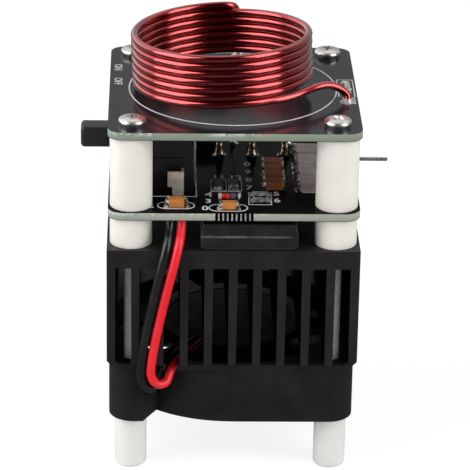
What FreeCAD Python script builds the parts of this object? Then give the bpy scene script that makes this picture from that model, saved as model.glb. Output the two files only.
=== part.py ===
"""Desktop resonant transformer: a fan-cooled driver with an open helical coil on top.

From the bottom up it is four nylon legs, an axial fan, a finned heatsink, a driver board with its power
transistor on the heatsink, and a top board that carries the coil. Four long screws run through the stack.
The frame is in millimetres, +Z up, with its origin on the table under the middle of the stack.
"""

import FreeCAD, Part

import math
import os

import Sketcher
from FreeCAD import Placement, Rotation, Vector

DOCUMENT = FreeCAD.newDocument("resonant_transformer")
UP = Vector(0, 0, 1)
RIGHT = Vector(1, 0, 0)

# ---------------------------------------------------------------------------------------------------------
# Driving dimensions. Each is written once, as a plain number in a cell of the sheet.
# ---------------------------------------------------------------------------------------------------------
DIMENSIONS = {
    # boards, and the stack of screws, spacers and legs
    "board_width": 50.0,
    "board_thickness": 1.6,
    "board_corner": 3.0,
    "hole_inset": 4.6,
    "screw_diameter": 3.0,
    "screw_play": 0.4,
    "screw_end": 4.4,
    "head_diameter": 5.6,
    "head_height": 1.9,
    "dome_share": 1.22,
    "upper_gap": 15.3,
    "spacer_diameter": 8.45,
    "leg_height": 11.4,
    "leg_diameter": 6.5,
    "leg_round": 0.9,
    "thread_play": 0.04,
    "bite_count": 9,
    "bite_pitch": 0.88,
    "bite_radius": 0.27,
    # heatsink
    "sink_overhang": 0.2,
    "sink_height": 25.3,
    "sink_base": 3.9,
    "fin_count": 11,
    "fin_root": 1.75,
    "fin_tip": 1.55,
    "sink_chamfer": 1.0,
    # fan frame
    "fan_inset": 0.2,
    "fan_height": 12.7,
    "fan_corner": 5.0,
    "fan_rim": 1.05,
    "fan_wall": 1.0,
    "flange_height": 1.2,
    "post_width": 7.05,
    "post_face": 0.3,
    "post_taper": 2.55,
    "recess_depth": 5.0,
    "lead_opening": 13.8,
    "hub_plate": 31.0,
    "hub_plate_height": 2.1,
    "label_diameter": 25.6,
    "label_recess": 0.25,
    "label_height": 0.12,
    "label_play": 0.2,
    "strut_count": 3,
    "strut_width": 3.2,
    "strut_height": 3.0,
    "strut_angle": 240.0,
    "lead_diameter": 1.8,
    "lead_gap": 0.08,
    "channel_play": 0.5,
    "channel_wall": 0.6,
    "channel_end": 13.0,
    "channel_cover": 0.15,
    "notch_depth": 0.6,
    # rotor, bearing and motor
    "blade_count": 7,
    "blade_gap": 0.55,
    "blade_thickness": 0.8,
    "blade_camber": 0.1,
    "blade_lift": 0.1,
    "blade_pitch": 34.0,
    "blade_twist": 8.0,
    "blade_sweep": 4.0,
    "root_chord": 9.6,
    "tip_chord": 13.2,
    "rotor_inset": 0.8,
    "rotor_height": 8.6,
    "rotor_hub": 26.0,
    "rotor_wall": 1.0,
    "rotor_round": 1.2,
    "boss_radius": 2.1,
    "boss_height": 1.9,
    "shaft_diameter": 2.0,
    "shaft_seat": 0.5,
    "clip_groove": 0.3,
    "clip_depth": 0.25,
    "clip_width": 0.9,
    "bearing_play": 0.03,
    "bearing_diameter": 4.6,
    "bearing_length": 6.6,
    "bearing_lift": 2.2,
    "tube_wall": 0.75,
    "magnet_thickness": 1.9,
    "air_gap": 0.4,
    "stator_height": 4.0,
    "stator_lift": 2.8,
    "pole_count": 4,
    "pole_width": 2.4,
    "pole_shoe": 1.1,
    "pole_mouth": 1.2,
    "core_ring": 1.5,
    "winding_width": 4.6,
    "winding_length": 2.8,
    "winding_swell": 0.9,
    "fit_gap": 0.05,
    "motor_board_height": 0.8,
    "motor_board_gap": 0.2,
    # coil
    "wire_diameter": 1.5,
    "turn_gap": 0.07,
    "coil_radius": 17.5,
    "coil_turns": 6.625,
    "coil_start": -45.0,
    "coil_offset": -2.05,
    "coil_lift": 2.45,
    "coil_tilt": -2.6,
    "coil_lean": -3.4,
    # power transistor
    "transistor_width": 19.4,
    "transistor_length": 26.0,
    "transistor_height": 5.0,
    "transistor_middle": 3.1,
    "transistor_inset": 0.1,
    "transistor_bevel": 0.5,
    "transistor_slope": 0.7,
    "transistor_room": 1.0,
    "leg_pitch": 6.8,
    "leg_offset": 1.2,
    "leg_width": 1.2,
    "leg_thickness": 0.7,
    "leg_level": 1.6,
    "leg_reach": 5.5,
    "leg_rise": 5.0,
    "pad_height": 0.4,
    "pad_inset": 0.8,
    "cone_foot": 1.6,
    "cone_tip": 0.8,
    "cone_height": 3.0,
    # barrel socket
    "jack_width": 9.0,
    "jack_height": 11.0,
    "jack_length": 16.6,
    "jack_inset": 0.4,
    "jack_setback": 2.2,
    "jack_cover": 14.3,
    "jack_proud": 0.25,
    "jack_shelf": 7.5,
    "jack_groove": 0.4,
    "jack_lip": 0.5,
    "jack_bore": 6.2,
    "jack_depth": 9.5,
    "jack_axis": 6.5,
    "jack_pin": 2.0,
    "pin_inset": 2.2,
    "rear_tab_width": 2.9,
    "rear_tab_height": 10.2,
    "tab_inset": 1.95,
    "tab_width": 3.25,
    "tab_height": 5.15,
    "tab_shoulder": 1.9,
    "tab_neck": 0.95,
    "tab_thickness": 0.5,
    "spacer_room": 0.1,
    # slide switch and antenna pin
    "switch_room": 0.275,
    "switch_travel": 4.0,
    "switch_axis": 4.3,
    "switch_inset": 1.0,
    "switch_length": 14.0,
    "switch_depth": 5.2,
    "switch_height": 7.4,
    "switch_wall": 0.4,
    "switch_base_depth": 1.6,
    "contact_pitch": 4.0,
    "knob_reach": 6.0,
    "knob_width": 4.6,
    "knob_height": 4.4,
    "knob_play": 0.15,
    "knob_round": 0.7,
    "carriage_margin": 1.2,
    "carriage_rise": 0.9,
    "carriage_depth": 3.6,
    "antenna_reach": 7.0,
    "antenna_inset": 5.1,
    "antenna_diameter": 0.85,
    "antenna_place": 1.6,
    "antenna_lift": 1.15,
    # chip parts: each kind's middle across the board and back from its front edge, its sizes and its end caps
    "cap_proud": 0.06,
    "tank_x": 8.3,
    "tank_place": 13.4,
    "tank_length": 4.5,
    "tank_width": 3.2,
    "tank_height": 1.85,
    "tank_cap": 0.6,
    "tank_pitch": 3.6,
    "tank_count": 4,
    "filter_x": 15.7,
    "filter_place": 13.55,
    "filter_length": 5.7,
    "filter_width": 5.0,
    "filter_height": 1.8,
    "filter_cap": 0.7,
    "filter_pitch": 5.9,
    "filter_count": 4,
    "input_x": -11.4,
    "input_place": 3.5,
    "input_length": 4.4,
    "input_width": 2.0,
    "input_height": 1.95,
    "input_cap": 0.75,
    "gate_x": -1.05,
    "gate_place": 2.55,
    "gate_length": 3.8,
    "gate_width": 1.7,
    "gate_height": 1.6,
    "gate_cap": 0.6,
    "clamp_x": -1.375,
    "clamp_place": 14.7,
    "clamp_length": 4.2,
    "clamp_width": 1.9,
    "clamp_height": 0.85,
    "clamp_cap": 0.55,
    "clamp_pitch": 3.15,
    "clamp_count": 2,
    "sense_x": 5.4,
    "sense_place": 6.5,
    "sense_length": 3.2,
    "sense_width": 1.6,
    "sense_height": 0.6,
    "sense_cap": 0.45,
    "sense_pitch": 3.1,
    "sense_count": 2,
    # glass diode, link pins, choke and driver chip
    "diode_x": -0.9,
    "diode_place": 7.4,
    "diode_length": 4.0,
    "diode_diameter": 1.5,
    "diode_cap": 0.7,
    "diode_cap_diameter": 1.7,
    "diode_overhang": 0.2,
    "pin_x": 6.25,
    "pin_place": 12.0,
    "pin_spread": 11.5,
    "pin_diameter": 1.0,
    "choke_x": -6.6,
    "choke_place": 8.0,
    "choke_side": 10.4,
    "choke_height": 5.0,
    "choke_round": 1.2,
    "chip_x": 7.0,
    "chip_place": 5.4,
    "chip_length": 5.0,
    "chip_width": 3.9,
    "chip_height": 1.5,
    "chip_lift": 0.2,
    "chip_span": 6.0,
    "chip_pitch": 1.27,
    "chip_legs": 4,
    "chip_leg_width": 0.42,
    "chip_leg_height": 0.5,
}

# Sizes, levels and places that follow from the driving dimensions.
DERIVED = {
    "board_edge": "board_width / 2",
    "hole_place": "board_edge - hole_inset",
    "screw_hole": "screw_diameter + screw_play",
    "sink_width": "board_width + 2 * sink_overhang",
    "fan_width": "board_width - 2 * fan_inset",
    "fan_edge": "fan_width / 2",
    "fan_bore": "fan_width - 2 * fan_rim",
    "ring_radius": "fan_bore / 2 + fan_wall",
    "fan_floor": "leg_height",
    "fan_top": "fan_floor + fan_height",
    "sink_top": "fan_top + sink_height",
    "lower_gap": "pad_height + transistor_height + transistor_room",
    "driver_floor": "sink_top + lower_gap",
    "driver_top": "driver_floor + board_thickness",
    "board_floor": "driver_top + upper_gap",
    "board_top": "board_floor + board_thickness",
    "fin_pitch": "(sink_width - fin_root) / (fin_count - 1)",
    "plate_floor": "fan_top - hub_plate_height",
    "channel_width": "2 * lead_diameter + channel_play",
    "channel_floor": "fan_top - lead_diameter - channel_cover",
    "lead_level": "fan_top - lead_diameter / 2 - channel_cover / 3",
    "rotor_floor": "fan_floor + rotor_inset",
    "rotor_top": "rotor_floor + rotor_height",
    "blade_middle": "rotor_floor + rotor_height / 2 + blade_lift",
    "blade_tip": "fan_bore / 2 - blade_gap",
    "cup_inside": "rotor_hub / 2 - rotor_wall",
    "magnet_inside": "cup_inside - 2 * fit_gap - magnet_thickness",
    "stator_radius": "magnet_inside - air_gap",
    "bearing_floor": "rotor_floor + bearing_lift",
    "bearing_top": "bearing_floor + bearing_length",
    "tube_radius": "bearing_diameter / 2 + fit_gap + tube_wall",
    "stator_floor": "rotor_floor + stator_lift",
    "motor_board_floor": "plate_floor - motor_board_gap - motor_board_height",
    "turn_pitch": "wire_diameter + turn_gap",
    "transistor_floor": "sink_top + pad_height",
    "transistor_front": "transistor_inset - board_edge",
    "lead_row": "transistor_front + transistor_length + leg_reach",
    "jack_outer": "jack_inset - board_edge",
    "contact_front": "spacer_diameter / 2 + spacer_room - hole_place",
    "jack_front": "contact_front + jack_setback",
    "jack_middle": "jack_front + jack_width / 2",
    "jack_level": "driver_top + jack_axis",
    "switch_middle": "hole_place - spacer_diameter / 2 - switch_room - switch_length / 2",
    "shell_outer": "switch_inset - board_edge",
    "shell_inner": "shell_outer + switch_depth",
    "switch_level": "driver_top + switch_axis",
    "switch_floor": "switch_level - switch_height / 2",
    "knob_middle": "switch_middle - switch_travel / 2",
    "knob_outer": "-(board_edge + knob_reach)",
    "antenna_foot": "board_edge - antenna_inset",
}

CELL_COLUMNS = ("A", "B")


def make_sheet():
    """The sheet of driving dimensions, one row each, with the alias as the name of the cell."""
    sheet = DOCUMENT.addObject("Spreadsheet::Sheet", "Dims")
    for row, (alias, value) in enumerate(DIMENSIONS.items(), start=1):
        sheet.set(f"{CELL_COLUMNS[0]}{row}", alias)
        sheet.set(f"{CELL_COLUMNS[1]}{row}", repr(value))
        sheet.setAlias(f"{CELL_COLUMNS[1]}{row}", alias)
    return sheet


def bound(formula):
    """The same formula with each alias and derived name led by the object that holds it."""
    words, word = [], ""
    for letter in str(formula) + " ":
        if letter.isalnum() or letter == "_":
            word += letter
            continue
        if word in DIMENSIONS:
            word = "Dims." + word
        elif word in DERIVED:
            word = "Levels." + word
        words += [word, letter]
        word = ""
    return "".join(words).strip()


def make_levels():
    """A set of named values, each bound by a formula to the sheet or to a value before it."""
    levels = DOCUMENT.addObject("App::VarSet", "Levels")
    for name, formula in DERIVED.items():
        levels.addProperty("App::PropertyFloat", name, "Levels")
        levels.setExpression(name, bound(formula))
    return levels


SHEET = make_sheet()
DOCUMENT.recompute()
LEVELS = make_levels()
DOCUMENT.recompute()


def size(name):
    """The number that an alias or a derived name holds."""
    return float(getattr(SHEET if name in DIMENSIONS else LEVELS, name))


# ---------------------------------------------------------------------------------------------------------
# Small helpers: solids bound to the sheet, booleans, bodies and profiles
# ---------------------------------------------------------------------------------------------------------
PARTS = []
COUNTER = {"made": 0}


def fresh_name(stem):
    """A name for an inner feature that no other feature has."""
    COUNTER["made"] += 1
    return f"{stem}_{COUNTER['made']:03d}"


def place(feature, x, y, z):
    """Binds a feature's place to three formulas."""
    for axis, formula in zip("xyz", (x, y, z)):
        feature.setExpression(f".Placement.Base.{axis}", bound(formula))
    return feature


def primitive(kind, spot, **sizes):
    """A Part primitive with every size and its place bound to formulas."""
    feature = DOCUMENT.addObject(f"Part::{kind}", fresh_name(kind.lower()))
    for name, formula in sizes.items():
        feature.setExpression(name, bound(formula))
    return place(feature, *spot)


def box(x, y, z, length, width, height):
    """A block from its lowest corner."""
    return primitive("Box", (x, y, z), Length=length, Width=width, Height=height)


def centred_box(x, y, z, length, width, height):
    """A block centred on x and y, standing on z."""
    return box(f"{x} - ({length}) / 2", f"{y} - ({width}) / 2", z, length, width, height)


def rod(x, y, z, radius, height):
    """An upright cylinder standing on z."""
    return primitive("Cylinder", (x, y, z), Radius=radius, Height=height)


def cross_rod(x, y, z, radius, length):
    """A cylinder that lies along X, from its left end."""
    cylinder = DOCUMENT.addObject("Part::Cylinder", fresh_name("cross_rod"))
    cylinder.Placement = Placement(Vector(), Rotation(UP, RIGHT))
    cylinder.setExpression("Radius", bound(radius))
    cylinder.setExpression("Height", bound(length))
    return place(cylinder, x, y, z)


def cone(x, y, z, low_radius, high_radius, height):
    """A frustum standing on z."""
    return primitive("Cone", (x, y, z), Radius1=low_radius, Radius2=high_radius, Height=height)


def fuse(*features):
    """One feature that joins several."""
    joined = DOCUMENT.addObject("Part::MultiFuse", fresh_name("joined"))
    joined.Shapes = list(features)
    joined.Refine = True
    return joined


def cut(base, *tools):
    """The base less the tools."""
    left = DOCUMENT.addObject("Part::Cut", fresh_name("cut"))
    left.Base = base
    left.Tool = tools[0] if len(tools) == 1 else fuse(*tools)
    left.Refine = True
    return left


def common(first, second):
    """What two features share."""
    shared = DOCUMENT.addObject("Part::Common", fresh_name("shared"))
    shared.Base = first
    shared.Tool = second
    return shared


def rounded(feature, radius, keep_edge):
    """The feature with the edges that keep_edge accepts rounded."""
    DOCUMENT.recompute()
    edges = [i + 1 for i, edge in enumerate(feature.Shape.Edges) if keep_edge(edge)]
    soft = DOCUMENT.addObject("Part::Fillet", fresh_name("soft"))
    soft.Base = feature
    soft.Edges = [(i, size(radius), size(radius)) for i in edges]
    return soft


def shaped(stem, shape):
    """A feature that holds a shape worked out in this file from the sheet's values."""
    feature = DOCUMENT.addObject("Part::Feature", fresh_name(stem))
    feature.Shape = shape
    return feature


def turned_copy(feature, angle):
    """A feature that holds another's shape, turned about Z."""
    DOCUMENT.recompute()
    return shaped("turned", feature.Shape.rotated(Vector(), UP, angle))


def group(solids):
    """One feature that holds several separate solids."""
    bundle = DOCUMENT.addObject("Part::Compound", fresh_name("group"))
    bundle.Links = list(solids)
    return bundle


def part(feature, label):
    """Marks a feature as a finished sub-part with its own name."""
    feature.Label = label
    PARTS.append(feature)
    return feature


def is_upright(edge):
    """True for a straight edge along Z."""
    return isinstance(edge.Curve, Part.Line) and abs(abs(edge.Curve.Direction.z) - 1) < 1e-6


CORNERS = {"front_left": (-1, -1), "front_right": (1, -1), "back_left": (-1, 1), "back_right": (1, 1)}


def screw_places():
    """The four screw places as pairs of formulas."""
    return [(f"{sx} * hole_place", f"{sy} * hole_place") for sx, sy in CORNERS.values()]


def make_body(label):
    """An empty body that becomes a sub-part."""
    return part(DOCUMENT.addObject("PartDesign::Body", label), label)


def origin_item(body, role):
    """One of a body's own origin planes or axes, found by its role."""
    return next(item for item in body.Origin.OriginFeatures if item.Role == role)


def make_sketch(body, role, lift="0", turn="0"):
    """A sketch on one of a body's own planes, lifted off it and turned on it by formulas."""
    sketch = body.newObject("Sketcher::SketchObject", fresh_name("sketch"))
    sketch.AttachmentSupport = [(origin_item(body, role), "")]
    sketch.MapMode = "FlatFace"
    sketch.AttachmentOffset = Placement(Vector(), Rotation(UP, 0))
    sketch.setExpression(".AttachmentOffset.Base.z", bound(lift))
    if turn != "0":
        sketch.setExpression(".AttachmentOffset.Rotation.Angle", bound(turn))
    return sketch


def worth(formula):
    """A formula's present value, read back from a property that is bound to it."""
    probe = DOCUMENT.addObject("App::FeaturePython", fresh_name("probe"))
    probe.addProperty("App::PropertyFloat", "Value", "Probe")
    probe.setExpression("Value", bound(formula))
    probe.recompute()
    value = float(probe.Value)
    DOCUMENT.removeObject(probe.Name)
    return value


def pin_down(sketch, index, end, spot):
    """Binds a point of a sketch to a pair of formulas, measured from the sketch's origin."""
    for kind, formula in zip(("DistanceX", "DistanceY"), spot):
        number = sketch.addConstraint(Sketcher.Constraint(kind, -1, 1, index, end, worth(formula)))
        sketch.setExpression(f"Constraints[{number}]", bound(formula))


def add_outline(sketch, spots, bulges=None):
    """A closed outline whose corners are pairs of formulas. A side in bulges is an arc of that radius."""
    bulges = bulges or {}
    count, first = len(spots), sketch.GeometryCount
    rough = [Vector(worth(x), worth(y), 0) for x, y in spots]
    for i in range(count):
        here, there = rough[i], rough[(i + 1) % count]
        side = Part.LineSegment(here, there)
        if i in bulges:
            side = bulged_side(here, there, worth(bulges[i]))
        sketch.addGeometry(side, False)
    for i in range(count):
        ends = side_ends(i in bulges and worth(bulges[i]) < 0)
        next_ends = side_ends((i + 1) % count in bulges and worth(bulges[(i + 1) % count]) < 0)
        following = first + (i + 1) % count
        sketch.addConstraint(Sketcher.Constraint("Coincident", first + i, ends[1], following, next_ends[0]))
        pin_down(sketch, first + i, ends[0], spots[i])
        if i in bulges:
            number = sketch.addConstraint(Sketcher.Constraint("Radius", first + i, abs(worth(bulges[i]))))
            sketch.setExpression(f"Constraints[{number}]", bound(f"abs({bulges[i]})"))
    return sketch


def side_ends(clockwise):
    """Which ends of a side come first and last: a sketch's arcs always run anticlockwise."""
    return (2, 1) if clockwise else (1, 2)


def bulged_side(here, there, radius):
    """An arc between two points: with a positive radius it turns anticlockwise on its way."""
    chord = there - here
    reach = math.sqrt(radius**2 - (chord.Length / 2) ** 2)
    across = Vector(-chord.y, chord.x, 0).normalize()
    centre = (here + there) * 0.5 + across * math.copysign(reach, radius)
    middle = centre - across * math.copysign(abs(radius), radius)
    return Part.Arc(here, middle, there)


def add_circle(sketch, x, y, radius):
    """A circle whose centre and radius are formulas."""
    centre = Vector(worth(x), worth(y), 0)
    index = sketch.addGeometry(Part.Circle(centre, UP, worth(radius)), False)
    pin_down(sketch, index, 3, (x, y))
    number = sketch.addConstraint(Sketcher.Constraint("Radius", index, worth(radius)))
    sketch.setExpression(f"Constraints[{number}]", bound(radius))
    return sketch


def pad(body, sketch, height, both_ways=False):
    """The sketch raised into a solid, or spread to both sides of its plane."""
    raised = body.newObject("PartDesign::Pad", fresh_name("pad"))
    raised.Profile = sketch
    raised.setExpression("Length", bound(height))
    raised.Midplane = both_ways
    raised.Refine = True
    return raised


def pocket(body, sketch, depth, both_ways=False):
    """The sketch cut upwards out of the solid, or to both sides; a cut that removes nothing is an error."""
    DOCUMENT.recompute()
    before = body.Tip.Shape.Volume
    sunk = body.newObject("PartDesign::Pocket", fresh_name("pocket"))
    sunk.Profile = sketch
    sunk.setExpression("Length", bound(depth))
    sunk.Reversed = True
    sunk.Midplane = both_ways
    sunk.Refine = True
    DOCUMENT.recompute()
    if not sunk.Shape.Volume < before:
        raise ValueError(f"{sunk.Name} in {body.Label} cut nothing")
    return sunk


def turned(body, sketch):
    """The sketch turned once round the upright axis of its own plane."""
    revolution = body.newObject("PartDesign::Revolution", fresh_name("turned"))
    revolution.Profile = sketch
    revolution.ReferenceAxis = (sketch, ["V_Axis"])
    revolution.Angle = 360.0
    return revolution


def polar(body, features, count):
    """The features repeated evenly round the Z axis of the body."""
    pattern = body.newObject("PartDesign::PolarPattern", fresh_name("polar"))
    pattern.Originals = list(features)
    pattern.Axis = (origin_item(body, "Z_Axis"), [""])
    pattern.Angle = 360.0
    pattern.setExpression("Occurrences", bound(count))
    body.Tip = pattern
    return pattern


def in_row(body, feature, role, length, count):
    """The feature repeated along an axis of the body."""
    pattern = body.newObject("PartDesign::LinearPattern", fresh_name("row"))
    pattern.Originals = [feature]
    pattern.Direction = (origin_item(body, role), [""])
    pattern.setExpression("Length", bound(length))
    pattern.setExpression("Occurrences", bound(count))
    body.Tip = pattern
    return pattern


def lathe(label, spots, x="0", y="0", z="0"):
    """A round sub-part: a profile of radius and height pairs turned round its axis, then put in place."""
    body = make_body(label)
    turned(body, add_outline(make_sketch(body, "XZ_Plane"), spots))
    return place(body, x, y, z)


def rectangle(x, y, length, width):
    """The four corners of a rectangle centred on x and y, as formulas."""
    left, right = f"{x} - ({length}) / 2", f"{x} + ({length}) / 2"
    front, back = f"{y} - ({width}) / 2", f"{y} + ({width}) / 2"
    return [(left, front), (right, front), (right, back), (left, back)]


def round_upright_edges(body, base, radius):
    """A fillet on every upright edge of a body's feature."""
    DOCUMENT.recompute()
    soft = body.newObject("PartDesign::Fillet", fresh_name("fillet"))
    soft.Base = (base, [f"Edge{i + 1}" for i, edge in enumerate(base.Shape.Edges) if is_upright(edge)])
    soft.setExpression("Radius", bound(radius))
    return soft


def drill_for_screws(body, level, depth):
    """The four screw holes through a body."""
    holes = make_sketch(body, "XY_Plane", level)
    for x, y in screw_places():
        add_circle(holes, x, y, "screw_hole / 2")
    return pocket(body, holes, depth)


# ---------------------------------------------------------------------------------------------------------
# Stack: boards, spacers, legs and screws
# ---------------------------------------------------------------------------------------------------------
def make_plate(label, level):
    """A square board with rounded corners and four screw holes."""
    body = make_body(label)
    outline = make_sketch(body, "XY_Plane", level)
    add_outline(outline, rectangle("0", "0", "board_width", "board_width"))
    round_upright_edges(body, pad(body, outline, "board_thickness"), "board_corner")
    drill_for_screws(body, level, "board_thickness")
    return body


def make_boards():
    """The top board, and the driver board with the row of bites where it was broken from its panel."""
    make_plate("top_board", "board_floor")
    driver = make_plate("driver_board", "driver_floor")
    row = "bite_pitch * (bite_count - 1)"
    bite = make_sketch(driver, "XY_Plane", "driver_floor")
    add_circle(bite, f"-{row} / 2", "-board_edge", "bite_radius")
    in_row(driver, pocket(driver, bite, "board_thickness"), "X_Axis", row, "bite_count")
    legs = make_sketch(driver, "XY_Plane", "driver_floor")
    for x in leg_places():
        add_circle(legs, x, "lead_row", "hypot(leg_width; leg_thickness) / 2 + fit_gap")
    pocket(driver, legs, "board_thickness")


def make_spacers():
    """Eight round nylon spacers: four under the top board and four under the driver board."""
    for tier, gap, level in (("upper", "upper_gap", "driver_top"), ("lower", "lower_gap", "sink_top")):
        spots = [
            ("screw_hole / 2", "0"),
            ("spacer_diameter / 2", "0"),
            ("spacer_diameter / 2", gap),
            ("screw_hole / 2", gap),
        ]
        for corner, (x, y) in zip(CORNERS, screw_places()):
            lathe(f"{tier}_spacer_{corner}", spots, x, y, level)


def make_legs():
    """Four round nylon legs with a rounded foot and a threaded bore that the screws end in."""
    bore, outside = "(screw_diameter + thread_play) / 2", "leg_diameter / 2"
    spots = [
        (bore, "0"),
        (f"{outside} - leg_round", "0"),
        (outside, "leg_round"),
        (outside, "leg_height"),
        (bore, "leg_height"),
    ]
    for corner, (x, y) in zip(CORNERS, screw_places()):
        body = make_body(f"leg_{corner}")
        sketch = add_outline(make_sketch(body, "XZ_Plane"), spots, bulges={1: "leg_round"})
        turned(body, sketch)
        place(body, x, y, "0")


def make_screws():
    """Four long pan-head screws in one node, each a shank with a domed head."""
    screws = []
    dome_radius = "((head_diameter / 2) ^ 2 + head_height ^ 2) / (2 * head_height) * dome_share"
    for x, y in screw_places():
        shank = rod(x, y, "screw_end", "screw_diameter / 2", "board_top - screw_end")
        head = rod(x, y, "board_top", "head_diameter / 2", "head_height")
        dome = primitive("Sphere", (x, y, f"board_top + head_height - ({dome_radius})"), Radius=dome_radius)
        screws.append(fuse(shank, common(head, dome)))
    part(group(screws), "long_screws")


# ---------------------------------------------------------------------------------------------------------
# Heatsink
# ---------------------------------------------------------------------------------------------------------
def make_heatsink():
    """A base plate with fins that hang from it, cut by a row of tapered slots and drilled for the screws."""
    body = make_body("heatsink")
    half = "sink_width / 2"
    low_corner = "fan_top + sink_chamfer"
    outline = add_outline(
        make_sketch(body, "XZ_Plane"),
        [
            (f"sink_chamfer - {half}", "fan_top"),
            (f"{half} - sink_chamfer", "fan_top"),
            (half, low_corner),
            (half, "sink_top"),
            (f"-{half}", "sink_top"),
            (f"-{half}", low_corner),
        ],
    )
    pad(body, outline, "sink_width", both_ways=True)

    left, right = f"fin_root - {half}", f"fin_pitch - {half}"
    spread, below, roof = "(fin_root - fin_tip) / 2", "fan_top - sink_chamfer", "sink_top - sink_base"
    slot = add_outline(
        make_sketch(body, "XZ_Plane"),
        [(f"{left} - {spread}", below), (f"{right} + {spread}", below), (right, roof), (left, roof)],
    )
    first = pocket(body, slot, "sink_width + 2 * sink_chamfer", both_ways=True)
    in_row(body, first, "X_Axis", "fin_pitch * (fin_count - 2)", "fin_count - 1")
    drill_for_screws(body, "fan_top", "sink_height")


# ---------------------------------------------------------------------------------------------------------
# Fan: frame, rotor, bearing and motor
# ---------------------------------------------------------------------------------------------------------
def recess_outline(inner_end):
    """The plan of the recess beside a corner post, from the slanted side of the post to inner_end."""
    post, beyond = "post_width - fan_edge", "fan_wall"
    return [
        (post, f"-fan_edge - {beyond}"),
        (post, "post_face - fan_edge"),
        (f"{post} + post_taper", "recess_depth - fan_edge"),
        (f"{post} + post_taper + {beyond}", f"recess_depth + {beyond} - fan_edge"),
        (inner_end, f"recess_depth + {beyond} - fan_edge"),
        (inner_end, f"-fan_edge - {beyond}"),
    ]


def add_disc(body, level, radius, height):
    """A round pad on a body's axis."""
    return pad(body, add_circle(make_sketch(body, "XY_Plane", level), "0", "0", radius), height)


def sink_disc(body, level, radius, depth):
    """A round pocket on a body's axis."""
    return pocket(body, add_circle(make_sketch(body, "XY_Plane", level), "0", "0", radius), depth)


def spoke_sketch(body, level, start, end, width):
    """A bar's plan that points outwards at the angle of the lead channel."""
    sketch = make_sketch(body, "XY_Plane", level, "strut_angle")
    return add_outline(sketch, rectangle(f"({start} + {end}) / 2", "0", f"{end} - ({start})", width))


def make_fan_frame():
    """The moulded frame: corner posts, ring, top flange, hub plate, struts, bearing tube and lead channel."""
    body = make_body("fan_frame")
    outline = make_sketch(body, "XY_Plane", "fan_floor")
    add_outline(outline, rectangle("0", "0", "fan_width", "fan_width"))
    round_upright_edges(body, pad(body, outline, "fan_height"), "fan_corner")

    recess = add_outline(make_sketch(body, "XY_Plane", "fan_floor"), recess_outline("0"))
    polar(body, [pocket(body, recess, "fan_height - flange_height")], 4)
    opening = add_outline(make_sketch(body, "XY_Plane", "fan_floor"), recess_outline("lead_opening - fan_edge"))
    pocket(body, opening, "fan_height")
    add_disc(body, "fan_floor", "ring_radius", "fan_height")
    sink_disc(body, "fan_floor", "fan_bore / 2", "fan_height")

    inner, outer, level = "hub_plate / 2 - fan_wall", "fan_bore / 2 + fan_wall / 2", "fan_top - strut_height"
    strut = pad(body, spoke_sketch(body, level, inner, outer, "strut_width"), "strut_height")
    polar(body, [strut], "strut_count")
    trough = spoke_sketch(body, level, inner, outer, "channel_width + 2 * channel_wall")
    pad(body, trough, "strut_height")
    add_disc(body, "plate_floor", "hub_plate / 2", "hub_plate_height")
    tube_floor = "bearing_floor - clip_groove"
    add_disc(body, tube_floor, "tube_radius", f"plate_floor - ({tube_floor})")

    sink_disc(body, tube_floor, "bearing_diameter / 2 + fit_gap", f"plate_floor - ({tube_floor})")
    sink_disc(body, "fan_top - label_recess", "label_diameter / 2 + label_play", "label_recess")
    channel = spoke_sketch(body, "channel_floor", "channel_end", "fan_width", "channel_width")
    pocket(body, channel, "fan_height")
    low = "channel_floor - notch_depth"
    pocket(body, spoke_sketch(body, low, "fan_bore / 2 - fan_wall", "fan_width", "channel_width"), "fan_height")
    drill_for_screws(body, "fan_floor", "fan_height")

    label = rod("0", "0", "fan_top - label_recess + label_height / 6", "label_diameter / 2", "label_height")
    part(label, "fan_label")


def blade_section(body, share):
    """One section of the first blade, on a plane that faces outwards, from its root (0) to past its tip (1)."""
    radius = f"(cup_inside - fit_gap) * {1 - share} + (blade_tip + post_taper) * {share}"
    chord = f"(root_chord * {1 - share} + tip_chord * {share})"
    turn = f"((blade_pitch - blade_twist * {share}) * pi / 180)"
    slide, rise = f"(blade_sweep * {share})", f"{chord} * blade_camber"

    def spot(along, off):
        across = f"{slide} + ({along}) * cos({turn}) - ({off}) * sin({turn})"
        up = f"blade_middle + ({along}) * sin({turn}) + ({off}) * cos({turn})"
        return across, up

    spots = [
        spot(f"-{chord} / 2", "0"),
        spot(f"-{chord} / 2", "-blade_thickness"),
        spot(f"{chord} / 2", "-blade_thickness"),
        spot(f"{chord} / 2", "0"),
    ]
    bow = f"(({chord} / 2) ^ 2 + ({rise}) ^ 2) / (2 * {rise})"
    return add_outline(make_sketch(body, "YZ_Plane", radius), spots, bulges={1: f"-({bow})", 3: bow})


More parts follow.
